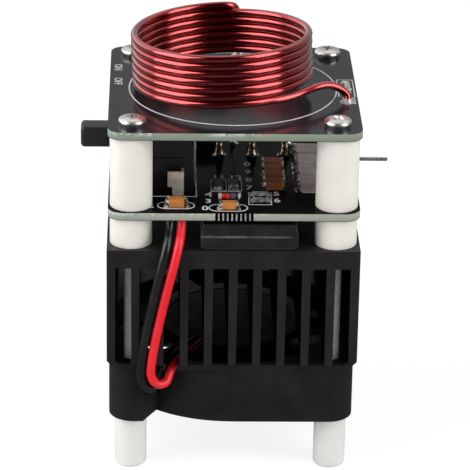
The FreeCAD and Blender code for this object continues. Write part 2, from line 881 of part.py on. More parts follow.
def make_rotor():
    """The turning half of the fan: a cup with twisted blades, its magnet ring, shaft and retaining clip."""
    body = make_body("fan_rotor")
    hub, shaft, floor = "rotor_hub / 2", "shaft_diameter / 2", "rotor_floor"
    turned(
        body,
        add_outline(
            make_sketch(body, "XZ_Plane"),
            [
                ("0", floor),
                (f"{hub} - rotor_round", floor),
                (hub, f"{floor} + rotor_round"),
                (hub, "rotor_top"),
                ("cup_inside", "rotor_top"),
                ("cup_inside", f"{floor} + rotor_wall"),
                ("boss_radius", f"{floor} + rotor_wall"),
                ("boss_radius", f"{floor} + boss_height"),
                (shaft, f"{floor} + boss_height"),
                (shaft, f"{floor} + shaft_seat"),
                ("0", f"{floor} + shaft_seat"),
            ],
            bulges={1: "rotor_round"},
        ),
    )
    sections = [blade_section(body, share) for share in (0.0, 0.5, 1.0)]
    blade = body.newObject("PartDesign::AdditiveLoft", "blade")
    blade.Profile = sections[0]
    blade.Sections = sections[1:]
    polar(body, [blade], "blade_count")
    for inner, outer, level in (
        ("blade_tip", "blade_tip + 2 * post_taper", f"{floor} - rotor_wall"),
        ("boss_radius + fit_gap", "cup_inside", f"{floor} + rotor_wall"),
    ):
        ring = add_circle(make_sketch(body, "XY_Plane", level), "0", "0", inner)
        pocket(body, add_circle(ring, "0", "0", outer), "rotor_height + 2 * rotor_wall")

    magnet_floor = f"{floor} + rotor_wall + 2 * fit_gap"
    ring = rod("0", "0", magnet_floor, "cup_inside - fit_gap", f"rotor_top - ({magnet_floor}) - clip_groove")
    part(cut(ring, rod("0", "0", magnet_floor, "magnet_inside", "rotor_height")), "rotor_magnet")

    groove = "(bearing_top + 3 * fit_gap)"
    end = f"({groove} + 2 * clip_groove + fit_gap)"
    lathe(
        "rotor_shaft",
        [
            ("0", f"{floor} + shaft_seat"),
            (shaft, f"{floor} + shaft_seat"),
            (shaft, groove),
            (f"{shaft} - clip_depth", groove),
            (f"{shaft} - clip_depth", f"{groove} + clip_groove"),
            (shaft, f"{groove} + clip_groove"),
            (shaft, end),
            ("0", end),
        ],
    )
    clip = rod("0", "0", f"{groove} + fit_gap", f"{shaft} + clip_width", "clip_groove - 2 * fit_gap")
    part(cut(clip, rod("0", "0", groove, f"{shaft} - clip_depth + fit_gap / 2", "clip_groove")), "shaft_clip")


def make_motor():
    """The still half of the motor: bearing sleeve, laminated core, windings and the small ring board."""
    bore = "shaft_diameter / 2 + bearing_play"
    lathe(
        "fan_bearing",
        [
            (bore, "bearing_floor"),
            ("bearing_diameter / 2", "bearing_floor"),
            ("bearing_diameter / 2", "bearing_top"),
            (bore, "bearing_top"),
        ],
    )
    core = make_body("stator_core")
    blank = add_circle(make_sketch(core, "XY_Plane", "stator_floor"), "0", "0", "stator_radius")
    pad(core, add_circle(blank, "0", "0", "tube_radius + fit_gap"), "stator_height")
    inner, outer, half = "tube_radius + core_ring", "stator_radius - pole_shoe", "pole_width / 2"
    turn = "180 / pole_count"
    gap = make_sketch(core, "XY_Plane", "stator_floor", turn)
    slip, spread = f"{half} / sqrt(2)", f"({outer}) / sqrt(2)"
    add_outline(
        gap,
        [
            (f"{half} * sqrt(2)", "0"),
            (f"{spread} + {slip}", f"{slip} - {spread}"),
            (f"{spread} + {slip}", f"{spread} - {slip}"),
        ],
        bulges={1: outer},
    )
    opening = rectangle("stator_radius - pole_shoe / 2", "0", "2 * pole_shoe", "pole_mouth")
    mouth = add_outline(make_sketch(core, "XY_Plane", "stator_floor", turn), opening)
    polar(core, [pocket(core, gap, "stator_height"), pocket(core, mouth, "stator_height")], "pole_count")
    collar = add_circle(make_sketch(core, "XY_Plane", "stator_floor"), "0", "0", inner)
    pad(core, add_circle(collar, "0", "0", "tube_radius + fit_gap"), "stator_height")

    coils = []
    reel = centred_box(
        f"{inner} + clip_groove + winding_length / 2",
        "0",
        "stator_floor - winding_swell",
        "winding_length",
        "winding_width",
        "stator_height + 2 * winding_swell",
    )
    arm = centred_box(
        "0",
        "0",
        "stator_floor - fit_gap",
        "2 * stator_radius",
        "pole_width + 2 * fit_gap",
        "stator_height + 2 * fit_gap",
    )
    winding = cut(reel, arm)
    for number in range(DIMENSIONS["pole_count"]):
        coils.append(turned_copy(winding, 360 / DIMENSIONS["pole_count"] * number))
    part(group(coils), "stator_windings")

    ring = rod("0", "0", "motor_board_floor", "stator_radius - motor_board_gap", "motor_board_height")
    hole = rod("0", "0", "motor_board_floor", "tube_radius + fit_gap", "motor_board_height")
    part(cut(ring, hole), "motor_board")


# ---------------------------------------------------------------------------------------------------------
# Round tubes along paths of straight runs and arcs: the coil and the two leads
# ---------------------------------------------------------------------------------------------------------
ARC_SHARE = 0.45


def run_and_arc_path(points, name):
    """The edges of a route through some points: straight runs, with each corner rounded by a tangent arc."""
    edges, start, radii = [], points[0], []
    for before, corner, after in zip(points, points[1:], points[2:]):
        into, out = corner - before, after - corner
        turn = into.getAngle(out)
        reach = ARC_SHARE * min(into.Length, out.Length)
        radii.append(reach / math.tan(turn / 2))
        into.normalize()
        out.normalize()
        first, last = corner - into * reach, corner + out * reach
        inward = (out - into).normalize()
        depth = radii[-1] / math.cos(turn / 2) - radii[-1]
        edges.append(Part.LineSegment(start, first).toShape())
        edges.append(Part.Arc(first, corner + inward * depth, last).toShape())
        start = last
    edges.append(Part.LineSegment(start, points[-1]).toShape())
    print(name, "radii", [round(radius, 1) for radius in radii])
    return edges


def tube_along(edges, radius, name):
    """A round solid along straight and round edges: each is swept by itself, and they are joined end to end."""
    first = edges[0]
    start = first.valueAt(first.FirstParameter)
    section = Part.Face(Part.Wire(Part.makeCircle(radius, start, first.tangentAt(first.FirstParameter))))
    stretches = []
    for edge in edges:
        if isinstance(edge.Curve, Part.Line):
            step = edge.valueAt(edge.LastParameter) - edge.valueAt(edge.FirstParameter)
            stretches.append(section.extrude(step))
            section = section.translated(step)
        else:
            turn = math.degrees(edge.LastParameter - edge.FirstParameter)
            stretches.append(section.revolve(edge.Curve.Center, edge.Curve.Axis, turn))
            section = section.rotated(edge.Curve.Center, edge.Curve.Axis, turn)
    tube = stretches[0].multiFuse(stretches[1:])
    length = sum(edge.Length for edge in edges)
    share = tube.Volume / (math.pi * radius**2 * length)
    print(name, "length", round(length, 1), "volume share", round(share, 3))
    return tube.Solids[0]


def coil_placement():
    """Where the coil's own axis stands: off centre, tilted forwards and leaning a little."""
    lean = Rotation(Vector(0, 1, 0), size("coil_lean"))
    tilt = Rotation(Vector(1, 0, 0), size("coil_tilt"))
    middle = Vector(size("coil_offset"), 0, size("board_top") + size("coil_lift"))
    stand = Placement(middle, lean.multiply(tilt))
    return stand.multiply(Placement(Vector(), Rotation(UP, size("coil_start"))))


def coil_edges():
    """A left-handed winding of half turns, each in its own slightly tilted plane and tangent to the next."""
    radius, pitch, half_turns = size("coil_radius"), size("turn_pitch"), 2 * size("coil_turns")
    stand, edges = coil_placement(), []
    for number in range(math.ceil(half_turns)):
        side = 1 if number % 2 == 0 else -1
        first = Vector(side * radius, 0, number * pitch / 2)
        last = Vector(-side * radius, 0, (number + 1) * pitch / 2)
        centre = (first + last) * 0.5
        outwards, along = first - centre, Vector(0, -side * (first - centre).Length, 0)
        turn = math.pi * min(1.0, half_turns - number)
        spots = []
        for angle in (0, turn / 2, turn):
            spot = centre + outwards * math.cos(angle) + along * math.sin(angle)
            spots.append(stand.multVec(spot))
        edges.append(Part.Arc(*spots).toShape())
    return edges


def make_coil():
    """The enamelled wire: a close-wound coil whose two ends bend down to the top board."""
    winding = coil_edges()
    first, last = winding[0], winding[-1]
    low, low_way = first.valueAt(first.FirstParameter), first.tangentAt(first.FirstParameter)
    high, high_way = last.valueAt(last.LastParameter), last.tangentAt(last.LastParameter)
    table = size("board_top")
    lower = [
        Vector(23.1, -6.0, table),
        Vector(23.1, -6.0, table + 1.8),
        Vector(21.6, -5.8, table + 2.6),
        Vector(18.6, -6.4, table + 3.6),
        Vector(15.6, -8.0, table + 3.2),
        low - low_way * 3.2,
        low,
    ]
    upper = [
        high,
        high + high_way * 2.2,
        high + high_way * 3.5 + Vector(0.0, 1.6, -1.2),
        Vector(1.6, 20.4, table + 6.4),
        Vector(1.6, 20.4, table),
    ]
    edges = run_and_arc_path(lower, "lower coil lead") + winding + run_and_arc_path(upper, "upper coil lead")
    part(shaped("coil", tube_along(edges, size("wire_diameter") / 2, "coil")), "coil_winding")


def channel_spot(reach, side, lift):
    """A point in the lead channel, at a distance from the fan's axis, beside the channel's middle line."""
    around = math.radians(size("strut_angle"))
    outward = Vector(math.cos(around), math.sin(around), 0)
    sideways = Vector(-math.sin(around), math.cos(around), 0)
    return outward * reach + sideways * side + UP * (size("lead_level") + lift)


def make_fan_leads():
    """The red and the black lead, from the driver board's underside, in a loop, to the fan's hub plate."""
    board = size("driver_floor")
    side = size("lead_diameter") / 2 + size("lead_gap")
    end = size("channel_end") + size("fit_gap")
    red = [
        Vector(-10.3, -22.6, board),
        Vector(-10.3, -22.6, board - 2.4),
        Vector(-10.9, -26.4, board - 5.0),
        Vector(-12.2, -27.0, board - 10.4),
        Vector(-14.0, -26.9, board - 18.2),
        Vector(-15.5, -26.8, board - 25.6),
        Vector(-16.3, -26.7, board - 31.0),
        Vector(-16.3, -26.7, board - 33.4),
        Vector(-15.2, -26.3, board - 35.4),
        Vector(-13.2, -25.3, board - 35.6),
        channel_spot(26.9, side, -1.6),
        channel_spot(24.9, side, 0.0),
        channel_spot(21.6, side + 0.05, 0.05),
        channel_spot(17.2, side - 0.05, 0.0),
        channel_spot(end, side, 0.0),
    ]
    black = [
        Vector(-12.6, -22.2, board),
        Vector(-12.6, -22.2, board - 2.4),
        Vector(-13.2, -26.3, board - 5.0),
        Vector(-14.6, -26.7, board - 10.4),
        Vector(-16.2, -26.6, board - 18.2),
        Vector(-17.6, -26.5, board - 25.6),
        Vector(-18.4, -26.4, board - 31.4),
        Vector(-18.3, -26.3, board - 34.4),
        Vector(-17.2, -25.7, board - 36.7),
        Vector(-15.4, -24.3, board - 37.1),
        Vector(-14.5, -22.9, board - 35.6),
        channel_spot(26.0, -side, -1.0),
        channel_spot(24.2, -side, 0.0),
        channel_spot(21.4, -side - 0.05, 0.05),
        channel_spot(17.2, -side + 0.05, 0.0),
        channel_spot(end, -side, 0.0),
    ]
    for name, route in (("fan_lead_red", red), ("fan_lead_black", black)):
        tube = tube_along(run_and_arc_path(route, name), size("lead_diameter") / 2, name)
        part(shaped(name, tube), name)


# ---------------------------------------------------------------------------------------------------------
# Power transistor under the driver board
# ---------------------------------------------------------------------------------------------------------
def leg_places():
    """Where the transistor's three legs stand, across the board."""
    return [f"transistor_middle + leg_offset + {step} * leg_pitch" for step in (-1, 0, 1)]


def make_transistor():
    """The flat moulded transistor on its pad, its legs bent up through the board, and their solder cones."""
    middle, half, low = "transistor_middle", "transistor_width / 2", "transistor_floor"
    back = "(transistor_front + transistor_length)"
    body = make_body("power_transistor")
    profile = make_sketch(body, "XZ_Plane", f"-{back}")
    add_outline(
        profile,
        [
            (f"{middle} - {half}", low),
            (f"{middle} + {half}", low),
            (f"{middle} + {half}", f"{low} + transistor_height / 2"),
            (f"{middle} + {half} - transistor_bevel", f"{low} + transistor_height"),
            (f"{middle} - {half} + transistor_bevel", f"{low} + transistor_height"),
            (f"{middle} - {half}", f"{low} + transistor_height / 2"),
        ],
    )
    pad(body, profile, "transistor_length")
    slope = add_outline(
        make_sketch(body, "YZ_Plane"),
        [
            ("transistor_front", f"{low} + transistor_height / 2"),
            ("transistor_front + transistor_slope", f"{low} + transistor_height"),
            ("transistor_front", f"{low} + transistor_height"),
        ],
    )
    pocket(body, slope, "2 * (transistor_width + transistor_middle)", both_ways=True)
    cushion = centred_box(
        middle,
        "transistor_front + transistor_length / 2",
        "sink_top",
        "transistor_width - 2 * pad_inset",
        "transistor_length - 2 * pad_inset",
        "pad_height",
    )
    part(cushion, "thermal_pad")

    legs, cones = [], []
    level = f"({low} + leg_level)"
    for x in leg_places():
        reach, height = f"lead_row + leg_thickness / 2 - {back}", f"driver_top + leg_rise - {level}"
        foot = box(f"{x} - leg_width / 2", back, level, "leg_width", reach, "leg_thickness")
        riser = centred_box(x, "lead_row", level, "leg_width", "leg_thickness", height)
        legs.append(fuse(foot, riser))
        solder = cone(x, "lead_row", "driver_top", "cone_foot", "cone_tip", "cone_height")
        passage = centred_box(x, "lead_row", "driver_top", "leg_width", "leg_thickness", "cone_height")
        cones.append(cut(solder, passage))
    part(group(legs), "transistor_legs")
    part(group(cones), "solder_joints")


# ---------------------------------------------------------------------------------------------------------
# Power socket, slide switch and antenna pin
# ---------------------------------------------------------------------------------------------------------
def make_socket():
    """The barrel socket at the left edge: moulded housing, centre pin with its rear tab, and side contact."""
    outer, low, front, level = "jack_outer", "driver_top", "jack_front", "jack_level"
    block = box(outer, f"{front} + jack_proud", low, "jack_length", "jack_width - jack_proud", "jack_height")
    shelf = f"({low} + jack_shelf)"
    cover = box(outer, front, shelf, "jack_cover", "jack_width / 2", "jack_height - jack_shelf")
    groove = box(outer, front, f"{shelf} - jack_groove", "jack_cover", "2 * jack_proud", "jack_groove")
    bore = cross_rod(f"{outer} - jack_inset", "jack_middle", level, "jack_bore / 2", "jack_depth + jack_inset")
    mouth = cross_rod(outer, "jack_middle", level, "jack_bore / 2 + jack_lip", "jack_lip")
    pin_hole = cross_rod(outer, "jack_middle", level, "jack_pin / 2 + fit_gap / 2", "jack_length + jack_inset")
    part(cut(fuse(block, cover), groove, bore, mouth, pin_hole), "jack_housing")

    stem = cross_rod(f"{outer} + pin_inset", "jack_middle", level, "jack_pin / 2", "jack_length - pin_inset")
    left = f"({outer} + jack_length)"
    side = "jack_middle - rear_tab_width / 2"
    rear_tab = box(left, side, low, "tab_thickness", "rear_tab_width", "rear_tab_height")
    part(fuse(stem, rear_tab), "jack_centre_pin")

    near, right, thick = "contact_front", f"({left} - tab_inset)", "tab_thickness"
    shoulder, height = f"({low} + tab_shoulder)", "tab_height - tab_shoulder"
    plate = box(f"{right} - tab_width", near, shoulder, "tab_width", thick, height)
    neck = "tab_width - tab_neck"
    tail = box(f"{right} - ({neck})", near, low, neck, thick, "tab_shoulder")
    wing = box(f"{right} - {thick}", near, shoulder, thick, "jack_setback + jack_proud", height)
    part(fuse(plate, tail, wing), "jack_side_contact")


def make_switch():
    """The slide switch at the left edge: base, metal shell with a slot, terminals and the knob that slides."""
    middle, outer, low = "switch_middle", "shell_outer", "switch_floor"
    side = f"{middle} - switch_length / 2"
    shell = box(outer, side, low, "switch_depth", "switch_length", "switch_height")
    hollow = box(
        f"{outer} + switch_wall",
        f"{side} + switch_wall",
        f"{low} + switch_wall",
        "switch_depth",
        "switch_length - 2 * switch_wall",
        "switch_height - 2 * switch_wall",
    )
    tall, wide = "(knob_height + 2 * knob_play)", "switch_travel + knob_width + 2 * knob_play"
    slot = centred_box(outer, middle, f"switch_level - {tall} / 2", "3 * switch_wall", wide, tall)
    part(cut(shell, hollow, slot), "switch_shell")

    block = box("shell_inner", side, low, "switch_base_depth", "switch_length", "switch_height")
    foot = box("shell_inner", side, "driver_top", "switch_base_depth", "switch_length", f"{low} - driver_top")
    part(fuse(block, foot), "switch_base")

    terminals = []
    back, blade = "(shell_inner + switch_base_depth)", "tab_thickness"
    tall = f"switch_axis + {blade}"
    for step in (-1, 0, 1):
        spot = f"{middle} + {step} * contact_pitch - leg_width / 2"
        arm = box(back, spot, "switch_level", "4 * tab_thickness", "leg_width", blade)
        tail = box(f"{back} + 4 * tab_thickness", spot, "driver_top", blade, "leg_width", tall)
        terminals.append(fuse(arm, tail))
    part(group(terminals), "switch_terminals")

    stem_end = "(shell_outer + switch_wall + knob_play)"
    post = box(
        "knob_outer",
        "knob_middle - knob_width / 2",
        "switch_level - knob_height / 2",
        f"{stem_end} - knob_outer",
        "knob_width",
        "knob_height",
    )
    carriage = box(
        stem_end,
        "knob_middle - knob_width / 2 - carriage_margin",
        "switch_level - knob_height / 2 - carriage_rise",
        "carriage_depth",
        "knob_width + 2 * carriage_margin",
        "knob_height + 2 * carriage_rise",
    )
    outer_x = size("knob_outer")

    def on_outer_face(edge):
        """True for an edge of the knob's outer end."""
        return all(abs(vertex.X - outer_x) < 1e-6 for vertex in edge.Vertexes)

    part(fuse(rounded(post, "knob_round", on_outer_face), carriage), "switch_knob")


def make_antenna():
    """The bare pick-up pin that sticks out of the right side, bent down into the board at its inner end."""
    foot, row, floor = size("antenna_foot"), size("antenna_place"), size("driver_top")
    level = floor + size("antenna_lift")
    end = size("board_edge") + size("antenna_reach")
    spots = [Vector(foot, row, floor), Vector(foot, row, level), Vector(end, row, level)]
    tube = tube_along(run_and_arc_path(spots, "antenna"), size("antenna_diameter") / 2, "antenna")
    part(shaped("antenna", tube), "antenna_pin")


# ---------------------------------------------------------------------------------------------------------
# Small parts on the driver board
# ---------------------------------------------------------------------------------------------------------
CHIP_ROWS = {"tank": "tank_capacitor", "filter": "filter_capacitor", "sense": "sense_resistor"}


def from_front(place):
    """A place across the board's depth, measured back from its front edge."""
    return f"({place} - board_edge)"


def from_back(place):
    """A place across the board's depth, measured forwards from its back edge."""
    return f"(board_edge - {place})"


def chip(label, kind, x, y, along_y=False):
    """A chip part: a block between two metal end caps that stand a little proud of it."""
    length, width, height, cap = (f"{kind}_{name}" for name in ("length", "width", "height", "cap"))
    slim, low = f"{width} - 2 * cap_proud", f"{height} - 2 * cap_proud"
    shift, level = f"({length} - {cap}) / 2", "driver_top + cap_proud"
    if along_y:
        block = centred_box(x, y, level, slim, length, low)
        ends = [centred_box(x, f"{y} + {side} * {shift}", "driver_top", width, cap, height) for side in (-1, 1)]
    else:
        block = centred_box(x, y, level, length, slim, low)
        ends = [centred_box(f"{x} + {side} * {shift}", y, "driver_top", cap, width, height) for side in (-1, 1)]
    return part(fuse(block, *ends), label)


def make_chip_parts():
    """The rows of capacitors and the other chip parts, each a node of its own."""
    chip("input_capacitor", "input", "input_x", from_front("input_place"))
    chip("gate_capacitor", "gate", "gate_x", from_front("gate_place"))
    for kind, label in CHIP_ROWS.items():
        for number in range(DIMENSIONS[f"{kind}_count"]):
            y = f"({from_front(f'{kind}_place')} + {number} * {kind}_pitch)"
            chip(f"{label}_{number + 1}", kind, f"{kind}_x", y)
    for number in range(DIMENSIONS["clamp_count"]):
        x = f"(clamp_x + ({number} - (clamp_count - 1) / 2) * clamp_pitch)"
        chip(f"clamp_diode_{number + 1}", "clamp", x, from_front("clamp_place"), along_y=True)


def make_diode():
    """The glass diode: a small glass rod between two round end caps."""
    left, y, radius = "(diode_x - diode_length / 2)", from_front("diode_place"), "diode_cap_diameter / 2"
    level = f"driver_top + {radius}"
    glass = cross_rod(left, y, level, "diode_diameter / 2", "diode_length")
    starts = (f"{left} - diode_overhang", f"{left} + diode_length + diode_overhang - diode_cap")
    part(fuse(glass, *[cross_rod(x, y, level, radius, "diode_cap") for x in starts]), "glass_diode")


def make_pins_and_choke():
    """The link pins between the boards, and the choke with its rounded upright edges."""
    pins = []
    for side in (-1, 1):
        x = f"pin_x + {side} * pin_spread / 2"
        pins.append(rod(x, from_back("pin_place"), "driver_top", "pin_diameter / 2", "upper_gap"))
    part(group(pins), "link_pins")
    y, side = from_back("choke_place"), "choke_side"
    block = centred_box("choke_x", y, "driver_top", side, side, "choke_height")
    part(rounded(block, "choke_round", is_upright), "input_choke")


def make_chip():
    """The driver chip: a moulded block with a row of legs that runs out on both sides."""
    y, count = from_back("chip_place"), DIMENSIONS["chip_legs"]
    block = centred_box("chip_x", y, "driver_top + chip_lift", "chip_length", "chip_width", "chip_height")
    legs = []
    for number in range(count):
        x = f"chip_x + ({number} - (chip_legs - 1) / 2) * chip_pitch"
        legs.append(centred_box(x, y, "driver_top", "chip_leg_width", "chip_span", "chip_leg_height"))
    part(fuse(block, *legs), "driver_chip")


def build_all():
    """Makes every sub-part."""
    make_boards()
    make_spacers()
    make_legs()
    make_screws()
    make_heatsink()
    make_fan_frame()
    make_rotor()
    make_motor()
    make_coil()
    make_fan_leads()
    make_transistor()
    make_socket()
    make_switch()
    make_antenna()
    make_chip_parts()
    make_diode()
    make_pins_and_choke()
    make_chip()
    DOCUMENT.recompute()


def check_all():
    """Stops if any object failed, or if a sub-part's shape is empty or not valid."""
    for item in DOCUMENT.Objects:
        if "Invalid" in item.State or "Error" in item.State:
            raise ValueError(f"{item.Label} failed: {item.State}")
    for feature in PARTS:
        if feature.Shape.isNull() or not feature.Shape.isValid() or not feature.Shape.Solids:
            raise ValueError(f"{feature.Label} has no valid solid")


def write_all():
    """Writes each sub-part to its own file."""
    os.makedirs("parts", exist_ok=True)
    for feature in PARTS:
        feature.Shape.exportStep(f"parts/{feature.Label}.step")
        print(f"{feature.Label}: {len(feature.Shape.Solids)} solid(s), {feature.Shape.Volume:.1f} mm3")
    print(len(PARTS), "nodes")


build_all()
check_all()
write_all()
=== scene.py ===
"""Looks of the desktop resonant transformer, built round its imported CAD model.

Sizes are in millimetres, in the model's own frame: +Z up, origin on the table under the middle of the stack.
A finished mesh is scaled to metres as its last step, so each object stands at the origin, unturned and
unscaled. Colours are linear, and angles are in degrees.
"""

import logging
import math
from collections.abc import Iterable, Mapping, Sequence
from dataclasses import dataclass
from enum import Enum
from functools import cache, reduce

import bmesh
import bpy
from mathutils import Matrix, Vector

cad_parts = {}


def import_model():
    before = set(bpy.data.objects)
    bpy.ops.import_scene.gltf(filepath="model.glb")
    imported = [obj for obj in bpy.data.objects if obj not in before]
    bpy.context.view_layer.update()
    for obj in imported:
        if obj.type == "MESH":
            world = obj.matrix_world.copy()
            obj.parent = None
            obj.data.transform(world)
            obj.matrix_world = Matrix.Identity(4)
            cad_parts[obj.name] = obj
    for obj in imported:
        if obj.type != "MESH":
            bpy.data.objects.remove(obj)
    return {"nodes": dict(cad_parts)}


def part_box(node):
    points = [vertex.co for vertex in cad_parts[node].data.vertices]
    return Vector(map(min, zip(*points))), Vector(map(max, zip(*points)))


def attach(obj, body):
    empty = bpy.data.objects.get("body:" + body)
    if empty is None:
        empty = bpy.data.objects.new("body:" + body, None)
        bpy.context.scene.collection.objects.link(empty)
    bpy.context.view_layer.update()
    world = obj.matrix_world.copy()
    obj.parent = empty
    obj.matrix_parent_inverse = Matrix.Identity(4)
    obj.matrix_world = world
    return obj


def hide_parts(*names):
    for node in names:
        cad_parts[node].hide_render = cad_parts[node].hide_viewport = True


LOG = logging.getLogger("transformer")
MM = 0.001
ROOT = "chassis"
SPINNER = "rotor"
SLIDER = "knob"
WHITE = (1.0, 1.0, 1.0, 1.0)
SHARP = 32.0
SHARP_ON_ROUND = 60.0
NODES: dict[str, bpy.types.Object] = {}

Colour = tuple[float, float, float]
Spot = tuple[float, float, float]
Flat = tuple[float, float]
Mesh = bpy.types.Mesh
Plug = bpy.types.NodeSocket


# ---- Node trees ----
class Socket(Enum):
    """The kinds of input that a Geometry Nodes tree of this file takes."""

    GEOMETRY = "NodeSocketGeometry"
    FLOAT = "NodeSocketFloat"
    INT = "NodeSocketInt"
    VECTOR = "NodeSocketVector"
    OBJECT = "NodeSocketObject"
    MATERIAL = "NodeSocketMaterial"


class Graph:
    """A node tree in the making."""

    def __init__(self, tree: bpy.types.NodeTree) -> None:
        """Starts on the tree that gets the nodes."""
        self.tree = tree

    def add(self, kind: str, inputs: Mapping | None = None, **settings: object) -> bpy.types.Node:
        """Adds a node with its settings and inputs.

        Args:
            kind: The node's type name.
            inputs: Values, sockets or nodes for the node's inputs, by name or number.
            settings: The node's own properties.

        Returns:
            The node.
        """
        node = self.tree.nodes.new(kind)
        for name, value in settings.items():
            setattr(node, name, value)
        for key, value in (inputs or {}).items():
            source = value.outputs[0] if isinstance(value, bpy.types.Node) else value
            if isinstance(source, Plug):
                self.tree.links.new(source, node.inputs[key])
            else:
                node.inputs[key].default_value = source
        return node

    def math(self, operation: str, *values: object) -> Plug:
        """One step of arithmetic on numbers or sockets, by the Math node's name for it."""
        return self.add("ShaderNodeMath", dict(enumerate(values)), operation=operation).outputs[0]

    def times(self, *values: object) -> Plug:
        """The product of numbers or sockets."""
        return reduce(lambda product, value: self.math("MULTIPLY", product, value), values)

    def parts(self, vector: object) -> tuple[Plug, Plug, Plug]:
        """The X, Y and Z of a vector."""
        return tuple(self.add("ShaderNodeSeparateXYZ", {0: vector}).outputs)

    def ramp(self, value: object, low: float, high: float, first: object = 0.0, last: object = 1.0) -> Plug:
        """A value spread from first at low to last at high, and held past both."""
        return self.add("ShaderNodeMapRange", {0: value, 1: low, 2: high, 3: first, 4: last}).outputs[0]

    def noise(self, where: Plug, scale: float, detail: float = 3.0) -> Plug:
        """A noise between 0 and 1 at a scale in features per metre."""
        return self.add("ShaderNodeTexNoise", {"Vector": where, "Scale": scale, "Detail": detail}).outputs[0]

    def mix(self, share: object, first: object, second: object) -> Plug:
        """A mix of two numbers, with a share of the second."""
        return self.add("ShaderNodeMix", {0: share, 2: first, 3: second}).outputs[0]

    def blend(self, share: object, first: object, second: object) -> Plug:
        """A mix of two colours or colour sockets, with a share of the second."""
        sides = [(*side, 1.0) if isinstance(side, tuple) else side for side in (first, second)]
        return self.add("ShaderNodeMix", {0: share, 6: sides[0], 7: sides[1]}, data_type="RGBA").outputs[2]


class Surface(Graph):
    """A material's tree, with the plain coordinates and those that are stretched along the finish's grain."""

    def __init__(self, tree: bpy.types.NodeTree, stretch: Spot) -> None:
        """Starts a tree.

        Args:
            tree: The tree that gets the nodes.
            stretch: The scale of the pattern along each axis.
        """
        super().__init__(tree)
        self.place = self.add("ShaderNodeTexCoord").outputs["Object"]
        self.where = self.scaled(stretch)

    def scaled(self, scale: Spot) -> Plug:
        """Object coordinates, scaled along each axis."""
        return self.add("ShaderNodeMapping", {"Vector": self.place, "Scale": scale}).outputs[0]


class Growth(Graph):
    """A Geometry Nodes tree with named inputs, run on a seed mesh to make a plain mesh."""

    def __init__(self, name: str, inputs: Mapping[str, Socket]) -> None:
        """Starts a tree.

        Args:
            name: The tree's name.
            inputs: The named inputs besides the seed geometry and the material.
        """
        super().__init__(bpy.data.node_groups.new(name, "GeometryNodeTree"))
        face = self.tree.interface
        face.new_socket("Geometry", in_out="INPUT", socket_type=Socket.GEOMETRY.value)
        self.keys = {
            label: face.new_socket(label, in_out="INPUT", socket_type=kind.value).identifier
            for label, kind in {**inputs, "Material": Socket.MATERIAL}.items()
        }
        face.new_socket("Geometry", in_out="OUTPUT", socket_type=Socket.GEOMETRY.value)
        self.given = self.add("NodeGroupInput").outputs

    def attribute(self, name: str, kind: str) -> Plug:
        """The socket of a named attribute of the seed."""
        return self.add("GeometryNodeInputNamedAttribute", {"Name": name}, data_type=kind).outputs["Attribute"]

    def line(self) -> bpy.types.Node:
        """The seed's edges as curves."""
        return self.add("GeometryNodeMeshToCurve", {"Mesh": self.given["Geometry"]})

    def circle(self, radius: str) -> bpy.types.Node:
        """A round section, sized by two named inputs."""
        sizes = {"Resolution": self.given["Sides"], "Radius": self.given[radius]}
        return self.add("GeometryNodeCurvePrimitiveCircle", sizes)

    def close(self, kind: str, inputs: Mapping) -> "Growth":
        """Ends the tree with the step that makes the geometry, and the two that make it plain.

        Args:
            kind: The step's node type.
            inputs: The step's inputs.

        Returns:
            The tree itself.
        """
        real = self.add("GeometryNodeRealizeInstances", {"Geometry": self.add(kind, inputs)})
        painted = self.add("GeometryNodeSetMaterial", {"Geometry": real, "Material": self.given["Material"]})
        self.add("NodeGroupOutput", {"Geometry": painted})
        return self

    def sweep(self, line: bpy.types.Node, section: bpy.types.Node) -> "Growth":
        """Ends the tree with a section drawn along a line."""
        return self.close("GeometryNodeCurveToMesh", {"Curve": line, "Profile Curve": section, "Fill Caps": True})

    def repeat(self, piece: object, **inputs: object) -> "Growth":
        """Ends the tree with a copy of a piece on every point of the seed."""
        inputs = {"Points": self.given["Geometry"], "Instance": piece, **inputs}
        return self.close("GeometryNodeInstanceOnPoints", inputs)

    def grow(self, seed: Mesh, finish: "Finish", **values: object) -> Mesh:
        """Runs the tree.

        Args:
            seed: The mesh that goes in.
            finish: The finish of what comes out.
            values: The named inputs, with an underscore for each space.

        Returns:
            A plain mesh in millimetres.
        """
        carrier = linked("seed", seed)
        modifier = carrier.modifiers.new("growth", "NODES")
        modifier.node_group = self.tree
        for label, value in {**values, "Material": finish.material()}.items():
            modifier[self.keys[label.replace("_", " ")]] = value
        return evaluated(carrier)


